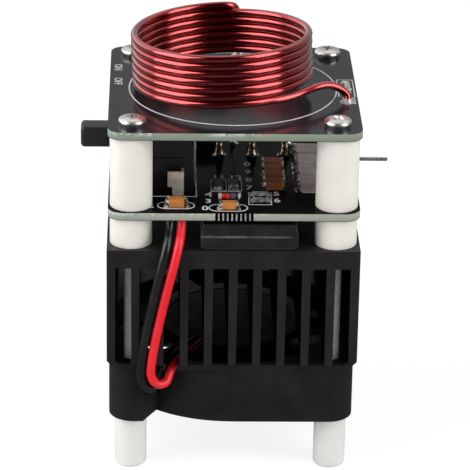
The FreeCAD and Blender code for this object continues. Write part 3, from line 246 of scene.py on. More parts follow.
# ---- Finishes ----
@dataclass(frozen=True)
class Finish:
    """A surface whose colour drifts, whose gloss is uneven and whose grain shows as fine relief.

    Scales are in features per metre, and grain_depth is in metres. The noise that drifts the colour goes from
    colour to drift between the two values of split.
    """

    name: str
    colour: Colour
    drift: Colour
    drift_scale: float = 180.0
    roughness: float = 0.4
    gloss_spread: float = 0.1
    gloss_scale: float = 420.0
    gloss_split: Flat = (0.3, 0.7)
    grain: float = 0.15
    grain_scale: float = 2600.0
    grain_depth: float = 0.00004
    metallic: float = 0.0
    specular: float = 0.5
    coat: float = 0.0
    coat_roughness: float = 0.06
    coat_ior: float = 1.5
    split: Flat = (0.35, 0.65)
    stretch: Spot = (1.0, 1.0, 1.0)

    @cache
    def material(self) -> bpy.types.Material:
        """Builds the finish's material the first time that it is asked for.

        Returns:
            The material.
        """
        material = bpy.data.materials.new(self.name)
        material.use_nodes = True
        shader = material.node_tree.nodes["Principled BSDF"]
        for name, value in self.fixed().items():
            shader.inputs[name].default_value = value
        for name, plug in self.pattern(Surface(material.node_tree, self.stretch)).items():
            material.node_tree.links.new(plug, shader.inputs[name])
        return material

    def fixed(self) -> dict[str, object]:
        """The shader's inputs that are the same all over the surface.

        Returns:
            Their values by name.
        """
        return {
            "Metallic": self.metallic,
            "Specular IOR Level": self.specular,
            "Coat Weight": self.coat,
            "Coat Roughness": self.coat_roughness,
            "Coat IOR": self.coat_ior,
        }

    def pattern(self, graph: Surface) -> dict[str, Plug]:
        """The sockets that feed the shader's inputs that vary."""
        return {"Base Color": self.coloured(graph), "Roughness": self.glossed(graph), "Normal": self.grained(graph)}

    def coloured(self, graph: Surface) -> Plug:
        """The drifting colour."""
        share = graph.ramp(graph.noise(graph.where, self.drift_scale), *self.split)
        return graph.blend(share, self.colour, self.drift)

    def glossed(self, graph: Surface) -> Plug:
        """The uneven roughness."""
        ends = self.roughness - self.gloss_spread / 2, self.roughness + self.gloss_spread / 2
        return graph.ramp(graph.noise(graph.where, self.gloss_scale), *self.gloss_split, *ends)

    def grained(self, graph: Surface) -> Plug:
        """The fine relief."""
        return self.relief(graph, graph.noise(graph.where, self.grain_scale, 2.0))

    def relief(self, graph: Surface, height: Plug) -> Plug:
        """Turns a height into a normal."""
        inputs = {"Strength": self.grain, "Distance": self.grain_depth, "Height": height}
        return graph.add("ShaderNodeBump", inputs).outputs[0]


@dataclass(frozen=True)
class Translucent(Finish):
    """A plastic that lets light some way under its surface, red furthest."""

    depth: float = 0.0014
    share: float = 0.35
    reach: Spot = (1.0, 0.85, 0.6)

    def fixed(self) -> dict[str, object]:
        """The shader's fixed inputs, with how far light goes under the surface."""
        depths = {"Subsurface Weight": self.share, "Subsurface Scale": self.depth, "Subsurface Radius": self.reach}
        return super().fixed() | depths


@dataclass(frozen=True)
class BoardFinish(Finish):
    """Solder mask on both faces of a board, with the cut glass-fibre edge between them.

    The mask wraps over each rim between the two depths of mask_edge. The edge frays at its upper lip, from
    fray_start along X to the full at fray_end. Its foot is dark up to the heights of foot_edge, and so are the
    bites along its front, in mask colour with painted shadow in their holes.
    """

    middle: float = 0.0
    half: float = 0.8
    mask_edge: Flat = (0.05, 0.02)
    foot_edge: Flat = (0.16, 0.04)
    edge_low: Colour = (0.20, 0.24, 0.18)
    edge_high: Colour = (0.28, 0.33, 0.265)
    edge_roughness: float = 0.75
    frayed: Colour = (0.78, 0.79, 0.75)
    fray_start: float = 9.0
    fray_end: float = -3.0
    thread_scale: float = 1300.0
    thread_split: Flat = (0.46, 0.54)
    patch_scale: float = 70.0
    patch_split: Flat = (0.44, 0.52)
    fibre_scale: float = 2400.0
    fibre_relief: float = 4.0
    layering: Spot = (0.35, 0.35, 3.2)
    weave_scale: float = 900.0
    weave_bend: float = 1.5
    weave_relief: float = 0.25
    comb_pitch: float = 0.88
    comb_reach: float = 0.0
    bite: float = 0.33

    def pattern(self, graph: Surface) -> dict[str, Plug]:
        """The mask's and the edge's colour, gloss and relief, told apart by height in the board.

        Args:
            graph: The material's tree.

        Returns:
            A socket for each of the shader's inputs that varies.
        """
        height = graph.parts(graph.place)[2]
        off = graph.math("ABSOLUTE", graph.math("SUBTRACT", height, self.middle * MM))
        face = graph.ramp(off, *((self.half - depth) * MM for depth in self.mask_edge))
        fibre = graph.noise(graph.scaled(self.layering), self.fibre_scale, detail=4.0)
        fibre = graph.times(fibre, self.fibre_relief)
        waves = {"Vector": graph.place, "Scale": self.weave_scale, "Distortion": self.weave_bend}
        cloth = graph.times(graph.add("ShaderNodeTexWave", waves).outputs[1], self.weave_relief)
        lumps = graph.math("ADD", cloth, graph.noise(graph.where, self.grain_scale, 2.0))
        return {
            "Base Color": graph.blend(face, self.cut(graph), self.coloured(graph)),
            "Roughness": graph.mix(face, self.edge_roughness, self.glossed(graph)),
            "Normal": self.relief(graph, graph.mix(face, fibre, lumps)),
        }

    def cut(self, graph: Surface) -> Plug:
        """The colour of the cut edge.

        Args:
            graph: The material's tree.

        Returns:
            The colour's socket.
        """
        along, across, height = graph.parts(graph.place)
        foot, brow = (self.middle - self.half) * MM, (self.middle + self.half) * MM
        colour = graph.blend(graph.ramp(height, foot, brow), self.edge_low, self.edge_high)
        threads = graph.ramp(graph.noise(graph.place, self.thread_scale, detail=4.0), *self.thread_split)
        patches = graph.ramp(graph.noise(graph.place, self.patch_scale, 2.0), *self.patch_split)
        side = graph.ramp(along, self.fray_start * MM, self.fray_end * MM)
        lip = graph.ramp(height, self.middle * MM, brow)
        colour = graph.blend(graph.times(threads, patches, side, lip), colour, self.frayed)
        low = graph.ramp(height, *(foot + rise * MM for rise in self.foot_edge))
        colour = graph.blend(low, colour, self.colour)
        # The bites are painted dark: mask colour in their holes, with painted shadow.
        near = graph.math("LESS_THAN", graph.math("ABSOLUTE", along), self.comb_reach * MM)
        front = graph.math("LESS_THAN", across, 0.0)
        tooth = graph.math("PINGPONG", graph.math("DIVIDE", along, self.comb_pitch * MM), 0.5)
        bites = graph.times(near, front, graph.math("LESS_THAN", tooth, self.bite))
        return graph.blend(bites, colour, self.colour)


@dataclass(frozen=True)
class BandedGlass(Finish):
    """A small glass diode: tinned ends, a red body, narrow coloured rings and two painted glints, each from its share
    of the length on.
    """

    centre: float = 0.0
    length: float = 4.0
    # The pale pink stripes from -0.09 and from 0.02 are painted glints; the rest are the body's own rings.
    stripes_and_glints: tuple[tuple[float, Colour], ...] = (
        (-0.35, (0.55, 0.02, 0.02)), (-0.09, (0.80, 0.20, 0.18)), (-0.06, (0.60, 0.015, 0.012)),
        (0.02, (0.70, 0.12, 0.12)), (0.045, (0.05, 0.01, 0.015)), (0.09, (0.13, 0.12, 0.24)),
        (0.28, (0.05, 0.01, 0.035)), (0.41, (0.78, 0.72, 0.66)),
    )  # fmt: skip

    def coloured(self, graph: Surface) -> Plug:
        """Coloured rings and painted glints across the body, over the drifting colour.

        Args:
            graph: The material's tree.

        Returns:
            The colour's socket.
        """
        along = graph.math("SUBTRACT", graph.parts(graph.place)[0], self.centre * MM)
        share = graph.math("DIVIDE", along, self.length * MM)
        colour = super().coloured(graph)
        for start, stripe in self.stripes_and_glints:
            colour = graph.blend(graph.math("GREATER_THAN", share, start), colour, stripe)
        return colour


@dataclass(frozen=True)
class DustyHighlitRidge(Finish):
    """A moulded block whose front upper ridge, a line along X at a place in Y and Z, is painted paler: a painted
    highlight with some dust.

    The paler mark fades out at reach from the ridge and is full within the share core of it.
    """

    ridge: Flat = (0.0, 0.0)
    reach: float = 0.3
    core: float = 0.3
    dust_and_highlight: Colour = (0.13, 0.12, 0.115)
    dust_and_highlight_scale: float = 300.0
    dust_and_highlight_split: Flat = (0.36, 0.66)

    def coloured(self, graph: Surface) -> Plug:
        """The drifting colour, unevenly paler near the ridge, where a highlight and some dust are painted.

        Args:
            graph: The material's tree.

        Returns:
            The colour's socket.
        """
        offs = [graph.math("SUBTRACT", at, line * MM) for at, line in zip(graph.parts(graph.where)[1:], self.ridge)]
        off = graph.math("SQRT", graph.math("ADD", *(graph.math("POWER", part, 2.0) for part in offs)))
        near = graph.ramp(off, self.reach * MM, self.core * self.reach * MM)
        # Painted highlight along the ridge, with some dust.
        share = graph.times(near, graph.ramp(graph.noise(graph.where, self.dust_and_highlight_scale, detail=4.0), *self.dust_and_highlight_split))
        return graph.blend(share, super().coloured(graph), self.dust_and_highlight)


@dataclass(frozen=True)
class Laminated(Finish):
    """Thin sheets stacked along Z, with a dark line between each and the next."""

    sheet: float = 0.5
    line: Flat = (0.02, 0.12)

    def pattern(self, graph: Surface) -> dict[str, Plug]:
        """Lines at even heights on top of the plain pattern.

        Args:
            graph: The material's tree.

        Returns:
            A socket for each of the shader's inputs that varies.
        """
        share = graph.math("DIVIDE", graph.parts(graph.place)[2], self.sheet * MM)
        # On the thread these dark lines at each pitch are painted shade in its grooves.
        dark_line = graph.ramp(graph.math("PINGPONG", share, 0.5), *self.line)
        colour = graph.blend(dark_line, self.drift, self.coloured(graph))
        return {"Base Color": colour, "Roughness": self.glossed(graph), "Normal": self.relief(graph, dark_line)}


NYLON = Translucent(
    "moulded nylon", (0.82, 0.78, 0.71), (0.86, 0.83, 0.78), 140.0, roughness=0.42, grain=0.25, grain_scale=900.0
)
COOL_NYLON = Translucent(
    "leg nylon", (0.80, 0.785, 0.755), (0.85, 0.84, 0.81), 140.0, roughness=0.42, grain=0.25, grain_scale=900.0
)
CLIP = Finish("clip nylon", (0.85, 0.85, 0.80), (0.78, 0.77, 0.72), roughness=0.4)

SATIN_STEEL = Finish(
    "satin nickel", (0.80, 0.77, 0.74), (0.62, 0.59, 0.57), 900.0, 0.3, 0.12, grain=0.9, grain_scale=1100.0,
    metallic=1.0,
)  # fmt: skip
# The thread is near-white and not metal: a painted reflection of its plating, with painted shade in dark rings at
# each pitch.
PAINTED_GLINT_THREAD = Laminated("thread with painted glints and shade", (0.97, 0.96, 0.94), (0.30, 0.29, 0.28), 20.0, 0.4, grain=0.6, split=(0.9, 1.0))
CONTACT = Finish(
    "contact spring", (0.90, 0.85, 0.80), (0.66, 0.56, 0.48), 260.0, 0.24, 0.1, grain=0.2, metallic=0.45
)
SHAFT = Finish("ground steel", (0.62, 0.62, 0.63), (0.5, 0.5, 0.51), 800.0, 0.22, metallic=1.0, stretch=(4, 4, 0.3))
SHELL = Finish("plated shell", (0.66, 0.66, 0.66), (0.52, 0.52, 0.52), 500.0, 0.3, metallic=1.0)
BRONZE = Finish("sintered bronze", (0.55, 0.38, 0.19), (0.42, 0.28, 0.13), 2500.0, 0.5, grain=0.6, metallic=1.0)
CORE = Laminated("core sheets", (0.42, 0.43, 0.45), (0.12, 0.12, 0.13), 900.0, 0.4, metallic=1.0)
COPPER = Laminated("copper turns", (0.62, 0.24, 0.09), (0.20, 0.06, 0.02), 900.0, 0.3, metallic=1.0, sheet=0.22)
ENAMEL = Finish(
    "red lacquer on copper", (0.47, 0.024, 0.027), (0.40, 0.017, 0.020), 60.0, 0.2, 0.05, grain=0.03,
    grain_scale=300.0, metallic=1.0, coat=1.0, coat_roughness=0.09, coat_ior=1.66,
)  # fmt: skip
ANODISED = Finish(
    "anodised aluminium", (0.007, 0.007, 0.007), (0.013, 0.012, 0.012), 260.0, 0.52, 0.16, grain=0.5,
    grain_scale=3200.0, stretch=(1.0, 0.06, 0.35),
)  # fmt: skip

TIN = Finish("tinned metal", (0.78, 0.77, 0.75), (0.62, 0.61, 0.60), 900.0, 0.3, 0.2, grain=0.5, metallic=1.0)
SOLDER = Finish(
    "solder", (0.80, 0.80, 0.80), (0.62, 0.62, 0.63), 1500.0, 0.2, 0.2, grain=0.8, grain_scale=1500.0, metallic=1.0
)
DULL_TIN = Finish(
    "dull tin", (0.84, 0.82, 0.79), (0.40, 0.37, 0.34), 1400.0, 0.34, 0.3, grain=1.0, grain_scale=1500.0,
    metallic=0.55,
)  # fmt: skip
# Near-black solder with pale specks: painted shade with painted glints, not the solder's own colour.
SHADE_AND_GLINT_SPECKED = Finish(
    "shaded solder with painted glints", (0.05, 0.038, 0.03), (0.92, 0.89, 0.85), 1500.0, 0.25, 0.2, grain=1.0,
    grain_scale=1300.0, metallic=0.4, split=(0.54, 0.60),
)  # fmt: skip
# Dark solder with pale mottles: painted shade with painted glints, not the solder's own colour.
SHADE_AND_GLINT_MOTTLED = Finish(
    "shaded solder with painted mottled glints", (0.10, 0.07, 0.045), (0.88, 0.85, 0.79), 1100.0, 0.25, 0.2, grain=1.0, grain_scale=1300.0,
    metallic=0.4, split=(0.48, 0.58),
)  # fmt: skip
# Brownish stained solder darkened further with painted shade, for the cones in the dim gap between the boards.
STAINED_AND_SHADED = Finish(
    "stained and shaded solder", (0.40, 0.33, 0.27), (0.05, 0.035, 0.025), 1300.0, 0.18, 0.16, grain=0.8, grain_scale=1500.0,
    metallic=0.9,
)  # fmt: skip

FAN_PLASTIC = Finish(
    "fan plastic", (0.0125, 0.0125, 0.0135), (0.0175, 0.0175, 0.0185), roughness=0.46, grain=0.4, specular=0.1
)
ROTOR_PLASTIC = Finish(
    "rotor plastic", (0.008, 0.008, 0.009), (0.013, 0.013, 0.014), roughness=0.38, grain=0.3, specular=0.25
)
LABEL = Finish("label film", (0.006, 0.006, 0.007), (0.010, 0.010, 0.011), roughness=0.5, grain=0.2, specular=0.08)
FERRITE = Finish("bonded ferrite", (0.07, 0.065, 0.065), (0.10, 0.09, 0.09), 900.0, 0.75, grain=0.5)
MOTOR_BOARD = Finish("motor board", (0.03, 0.13, 0.06), (0.05, 0.18, 0.08), roughness=0.35, coat=0.3)
PVC_RED = Finish("red sleeve", (0.88, 0.012, 0.024), (0.78, 0.010, 0.020), 90.0, roughness=0.36, grain=0.3)
PVC_BLACK = Finish("black sleeve", (0.007, 0.007, 0.008), (0.011, 0.011, 0.012), 90.0, roughness=0.26, grain=0.3)
SILICONE = Finish("silicone pad", (0.16, 0.17, 0.18), (0.20, 0.21, 0.22), roughness=0.6)
EPOXY = Finish(
    "moulded epoxy", (0.008, 0.008, 0.008), (0.013, 0.012, 0.012), roughness=0.5, grain=0.6, grain_scale=4200.0
)
SOCKET = Finish("socket plastic", (0.009, 0.009, 0.009), (0.015, 0.014, 0.014), roughness=0.32, grain=0.3)
KNOB = Finish("knob plastic", (0.016, 0.016, 0.018), (0.024, 0.024, 0.026), roughness=0.42, grain=0.5)
TAN = Finish("tan ceramic", (0.55, 0.19, 0.035), (0.64, 0.25, 0.06), 700.0, 0.36, grain=0.5)
BROWN = Finish("brown ceramic", (0.25, 0.075, 0.026), (0.33, 0.11, 0.042), 500.0, 0.45, grain=0.5, specular=0.15)
GREY_PINK = Finish("grey-pink ceramic", (0.36, 0.29, 0.27), (0.48, 0.40, 0.38), 500.0, 0.38, grain=0.5, coat=0.2)
STRIP = Finish("resistor strip", (0.86, 0.84, 0.82), (0.16, 0.15, 0.15), 1200.0, 0.3, grain=1.0, metallic=0.5)
PRINT = Finish("white print", (0.88, 0.89, 0.90), (0.76, 0.77, 0.78), 1800.0, 0.6, grain=0.3)


# ---- Mesh tools, all in millimetres ----
def linked(name: str, data: bpy.types.ID) -> bpy.types.Object:
    """A new object in the scene.

    Args:
        name: Its name.
        data: Its data.

    Returns:
        The object.
    """
    made = bpy.data.objects.new(name, data)
    bpy.context.scene.collection.objects.link(made)
    return made


def evaluated(carrier: bpy.types.Object) -> Mesh:
    """Turns an object with modifiers, or a curve, into a plain mesh, and removes the object.

    Args:
        carrier: The object to evaluate.

    Returns:
        The mesh.
    """
    bpy.context.view_layer.update()
    graph = bpy.context.evaluated_depsgraph_get()
    mesh = bpy.data.meshes.new_from_object(carrier.evaluated_get(graph), depsgraph=graph)
    bpy.data.objects.remove(carrier)
    return mesh


def from_bmesh(shape: bmesh.types.BMesh, mend: bool = True) -> Mesh:
    """Turns a bmesh into a mesh, and frees it.

    Args:
        shape: The shape.
        mend: Whether its doubles are merged and its faces turned outwards.

    Returns:
        The mesh.
    """
    if mend:
        bmesh.ops.remove_doubles(shape, verts=shape.verts, dist=1e-4)
        bmesh.ops.recalc_face_normals(shape, faces=shape.faces)
    mesh = bpy.data.meshes.new("shape")
    shape.to_mesh(mesh)
    shape.free()
    return mesh


def shell(spots: Iterable[Spot], faces: Iterable[Sequence[int]]) -> Mesh:
    """A closed shape.

    Args:
        spots: Its corners.
        faces: The numbers of each face's corners.

    Returns:
        The mesh.
    """
    shape = bmesh.new()
    corners = [shape.verts.new(spot) for spot in spots]
    for face in faces:
        shape.faces.new([corners[number] for number in face])
    return from_bmesh(shape)


def polar(radius: float, angle: float) -> Flat:
    """A point at a radius and an angle in radians."""
    return (radius * math.cos(angle), radius * math.sin(angle))


def turned(profile: Sequence[Flat], steps: int = 48) -> Mesh:
    """A closed shape turned round Z.

    Args:
        profile: Radius and height pairs, in order round the section.
        steps: How many sides the shape has.

    Returns:
        The mesh.
    """
    count, total = len(profile), len(profile) * steps
    spots = [(*polar(r, 2 * math.pi * step / steps), z) for step in range(steps) for r, z in profile]
    closed = min(profile[0][0], profile[-1][0]) > 0
    faces = []
    for ring in range(0, total, count):
        following = (ring + count) % total
        for i in range(count if closed else count - 1):
            j = (i + 1) % count
            faces.append((ring + i, following + i, following + j, ring + j))
    return shell(spots, faces)


def prism(outline: Sequence[Flat], low: float, high: float, taper: float = 1.0) -> Mesh:
    """An outline raised along Z, and scaled about its own origin at its lower end.

    Args:
        outline: Its corners, anticlockwise.
        low: The lower height.
        high: The upper height.
        taper: The scale of the lower end.

    Returns:
        The mesh.
    """
    count = len(outline)
    spots = [(x * taper, y * taper, low) for x, y in outline] + [(x, y, high) for x, y in outline]
    sides = [(i, (i + 1) % count, count + (i + 1) % count, count + i) for i in range(count)]
    return shell(spots, [range(count)[::-1], range(count, 2 * count), *sides])


def rounded_block(low: Spot, high: Spot, radius: float, segments: int = 2) -> Mesh:
    """A block with every edge rounded.

    Args:
        low: Its lowest corner.
        high: Its highest corner.
        radius: The radius of its edges.
        segments: How many faces cross an edge.

    Returns:
        The mesh.
    """
    shape = bmesh.new()
    bmesh.ops.create_cube(shape, size=1.0)
    size, middle = Vector(high) - Vector(low), (Vector(high) + Vector(low)) / 2
    bmesh.ops.transform(shape, matrix=Matrix.Translation(middle) @ Matrix.Diagonal((*size, 1)), verts=shape.verts)
    bmesh.ops.bevel(shape, geom=shape.edges[:], offset=radius, segments=segments, profile=0.5, affect="EDGES")
    return from_bmesh(shape)


def joined(meshes: Iterable[Mesh]) -> Mesh:
    """Several meshes as one.

    Args:
        meshes: The meshes.

    Returns:
        The whole.
    """
    shape = bmesh.new()
    for mesh in meshes:
        shape.from_mesh(mesh)
    return from_bmesh(shape, mend=False)


def turn(angle: float, axis: str) -> Matrix:
    """A turn about an axis through the origin."""
    return Matrix.Rotation(math.radians(angle), 4, axis)


def moved(mesh: Mesh, spot: Spot, angle: float = 0.0, axis: str = "Z") -> Mesh:
    """The mesh turned about an axis through the origin, then moved."""
    mesh.transform(Matrix.Translation(spot) @ turn(angle, axis))
    return mesh


def seeds(spots: Sequence[Spot], turns: Sequence[float] = ()) -> Mesh:
    """Loose points that say where copies stand.

    Args:
        spots: The places.
        turns: The turn of each about Z.

    Returns:
        The mesh, with its turns as an attribute.
    """
    mesh = bpy.data.meshes.new("seeds")
    mesh.from_pydata(spots, [], [])
    layer = mesh.attributes.new("turn", "FLOAT_VECTOR", "POINT")
    for number, angle in enumerate(turns):
        layer.data[number].vector = (0.0, 0.0, math.radians(angle))
    return mesh


def chains(paths: Iterable[Sequence[Spot]], closed: bool = False) -> Mesh:
    """Lines of edges through points.

    Args:
        paths: The points of each line.
        closed: Whether each line comes back to its start.

    Returns:
        The mesh.
    """
    spots: list[Spot] = []
    edges: list[tuple[int, int]] = []
    for path in paths:
        first = len(spots)
        spots += path
        edges += [(i, i + 1) for i in range(first, len(spots) - 1)]
        if closed:
            edges.append((len(spots) - 1, first))
    mesh = bpy.data.meshes.new("chains")
    mesh.from_pydata(spots, edges, [])
    return mesh


def spline(points: Sequence[Spot], order: int = 3, fineness: int = 8) -> bpy.types.Object:
    """A curve object with one open NURBS spline.

    Args:
        points: Its control points.
        order: Its order.
        fineness: How many steps it takes from one control point to the next.

    Returns:
        The curve object.
    """
    curve = bpy.data.curves.new("route", "CURVE")
    curve.dimensions = "3D"
    curve.resolution_u = fineness
    line = curve.splines.new("NURBS")
    line.points.add(len(points) - 1)
    for control, point in zip(line.points, points):
        control.co = (*point, 1.0)
    line.order_u = order
    line.use_endpoint_u = True
    return linked("route", curve)


def smooth_route(points: Sequence[Spot], fineness: int = 8) -> list[Spot]:
    """Points along a smooth line with the given control points."""
    return [tuple(vertex.co) for vertex in evaluated(spline(points, fineness=fineness)).vertices]


def bevelled(carrier: bpy.types.Object, width: float, segments: int, angle: float) -> None:
    """Puts a bevel on an object's sharp edges.

    Args:
        carrier: The object.
        width: The bevel's width.
        segments: How many faces cross an edge.
        angle: The angle between two faces past which their edge is bevelled.
    """
    bevel = carrier.modifiers.new("bevel", "BEVEL")
    bevel.width = width
    bevel.segments = segments
    bevel.limit_method = "ANGLE"
    bevel.angle_limit = math.radians(angle)


def finished(
    name: str,
    mesh: Mesh,
    finish: Finish,
    replaces: Sequence[str] = (),
    body: str = ROOT,
    sharp: float = SHARP,
) -> None:
    """Scales a mesh to metres and makes it a piece of the object.

    Args:
        name: The piece's name.
        mesh: Its mesh, in millimetres.
        finish: Its finish.
        replaces: The CAD nodes that it stands for.
        body: The body that it rides on.
        sharp: The angle between two faces past which their edge stays sharp.
    """
    mesh.name = name
    mesh.transform(Matrix.Scale(MM, 4))
    mesh.materials.clear()
    mesh.materials.append(finish.material())
    mesh.polygons.foreach_set("material_index", [0] * len(mesh.polygons))
    mesh.polygons.foreach_set("use_smooth", [True] * len(mesh.polygons))
    mesh.set_sharp_from_angle(angle=math.radians(sharp))
    piece = linked(name, mesh)
    shading = piece.modifiers.new("weighted normals", "WEIGHTED_NORMAL")
    shading.keep_sharp = True
    shading.weight = 60
    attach(piece, body)
    if replaces:
        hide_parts(*replaces)
    LOG.info("%s: %d faces", name, len(mesh.polygons))


def dress(finish: Finish, node: str) -> None:
    """Gives a CAD node, whose shape stays, a finish.

    Args:
        finish: The finish.
        node: The node's name.
    """
    for slot in NODES[node].material_slots:
        slot.material = finish.material()
    LOG.info("%s keeps its CAD shape", node)


def span(node: str) -> tuple[Vector, Vector]:
    """A CAD node's lowest and highest corner."""
    low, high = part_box(node)
    return low / MM, high / MM


def named(stem: str) -> list[str]:
    """The CAD nodes whose names start with a stem, in order."""
    return sorted(name for name in NODES if name.startswith(stem))


# ---- Growths: what repeats or follows a path ----
class Growths:
    """The Geometry Nodes trees that several sub-assemblies share."""

    def __init__(self) -> None:
        """Builds each tree once."""
        self.copies = self.make_copies()
        self.strokes = self.make_strokes()
        self.wires = Growth("round wires", {"Radius": Socket.FLOAT, "Sides": Socket.INT})
        self.wires.sweep(self.wires.line(), self.wires.circle("Radius"))

    def make_copies(self) -> Growth:
        """A tree that stands a copy of a piece on every point of its seed, turned by the point's attribute.

        Returns:
            The tree.
        """
        tree = Growth("copies on points", {"Piece": Socket.OBJECT})
        piece = tree.add("GeometryNodeObjectInfo", {"Object": tree.given["Piece"]}).outputs["Geometry"]
        angles = tree.add("FunctionNodeEulerToRotation", {0: tree.attribute("turn", "FLOAT_VECTOR")})
        return tree.repeat(piece, Rotation=angles)

    def make_strokes(self) -> Growth:
        """A tree that lays a flat printed stroke along every line of its seed.

        Returns:
            The tree.
        """
        tree = Growth("printed strokes", {"Width": Socket.FLOAT, "Thickness": Socket.FLOAT})
        level = tree.add("GeometryNodeSetCurveNormal", {"Curve": tree.line()}, mode="Z_UP")
        sizes = {"Width": tree.given["Width"], "Height": tree.given["Thickness"]}
        return tree.sweep(level, tree.add("GeometryNodeCurvePrimitiveQuadrilateral", sizes))

    def stand(self, mesh: Mesh, finish: Finish, spots: Sequence[Spot], turns: Sequence[float] = ()) -> Mesh:
        """Copies of a mesh on some spots.

        Args:
            mesh: What is copied.
            finish: Its finish.
            spots: Where the copies stand.
            turns: The turn of each about Z.

        Returns:
            The copies as one mesh.
        """
        pattern = linked("pattern", mesh)
        result = self.copies.grow(seeds(spots, turns), finish, Piece=pattern)
        bpy.data.objects.remove(pattern)
        return result

    def stroke(self, paths: Iterable[Sequence[Spot]], width: float, closed: bool = False) -> Mesh:
        """Printed strokes along some lines."""
        return self.strokes.grow(chains(paths, closed), PRINT, Width=width, Thickness=0.05)

    def wire(self, paths: Iterable[Sequence[Spot]], finish: Finish, radius: float, sides: int = 12) -> Mesh:
        """Round wires along some lines."""
        return self.wires.grow(chains(paths), finish, Radius=radius, Sides=sides)


# ---- Sub-assemblies ----
@dataclass(frozen=True)
class Eased:
    """A piece that is its CAD node's shape with eased edges."""

    name: str
    node: str
    edge: float
    finish: Finish
    slot: str
    segments: int = 2
    body: str = ROOT
    merge: float = 0.002
    flat: float = 0.5
    limit: float = 36.0

    def build(self, finish: Finish | None = None) -> None:
        """Merges a copy of the node, bevels its sharp edges and makes it a piece.

        Args:
            finish: A finish that is only known now, in place of the piece's own.
        """
        shape = bmesh.new()
        shape.from_mesh(NODES[self.node].data)
        bmesh.ops.scale(shape, vec=(1 / MM,) * 3, verts=shape.verts)
        bmesh.ops.remove_doubles(shape, verts=shape.verts, dist=self.merge)
        flat = math.radians(self.flat)
        bmesh.ops.dissolve_limit(shape, angle_limit=flat, verts=shape.verts, edges=shape.edges)
        carrier = linked("soft", from_bmesh(shape, mend=False))
        bevelled(carrier, self.edge, self.segments, self.limit)
        finished(self.name, evaluated(carrier), finish or self.finish, [self.node], self.body)


@dataclass
class Assembly:
    """A group of pieces: CAD nodes with eased edges, CAD nodes that only get a finish, and what build adds."""

    growths: Growths
    eased: tuple[Eased, ...] = ()
    dressed: tuple[tuple[Finish, str], ...] = ()

    def build(self) -> None:
        """Makes and dresses every piece."""
        for piece in self.eased:
            piece.build()
        for finish, node in self.dressed:
            dress(finish, node)


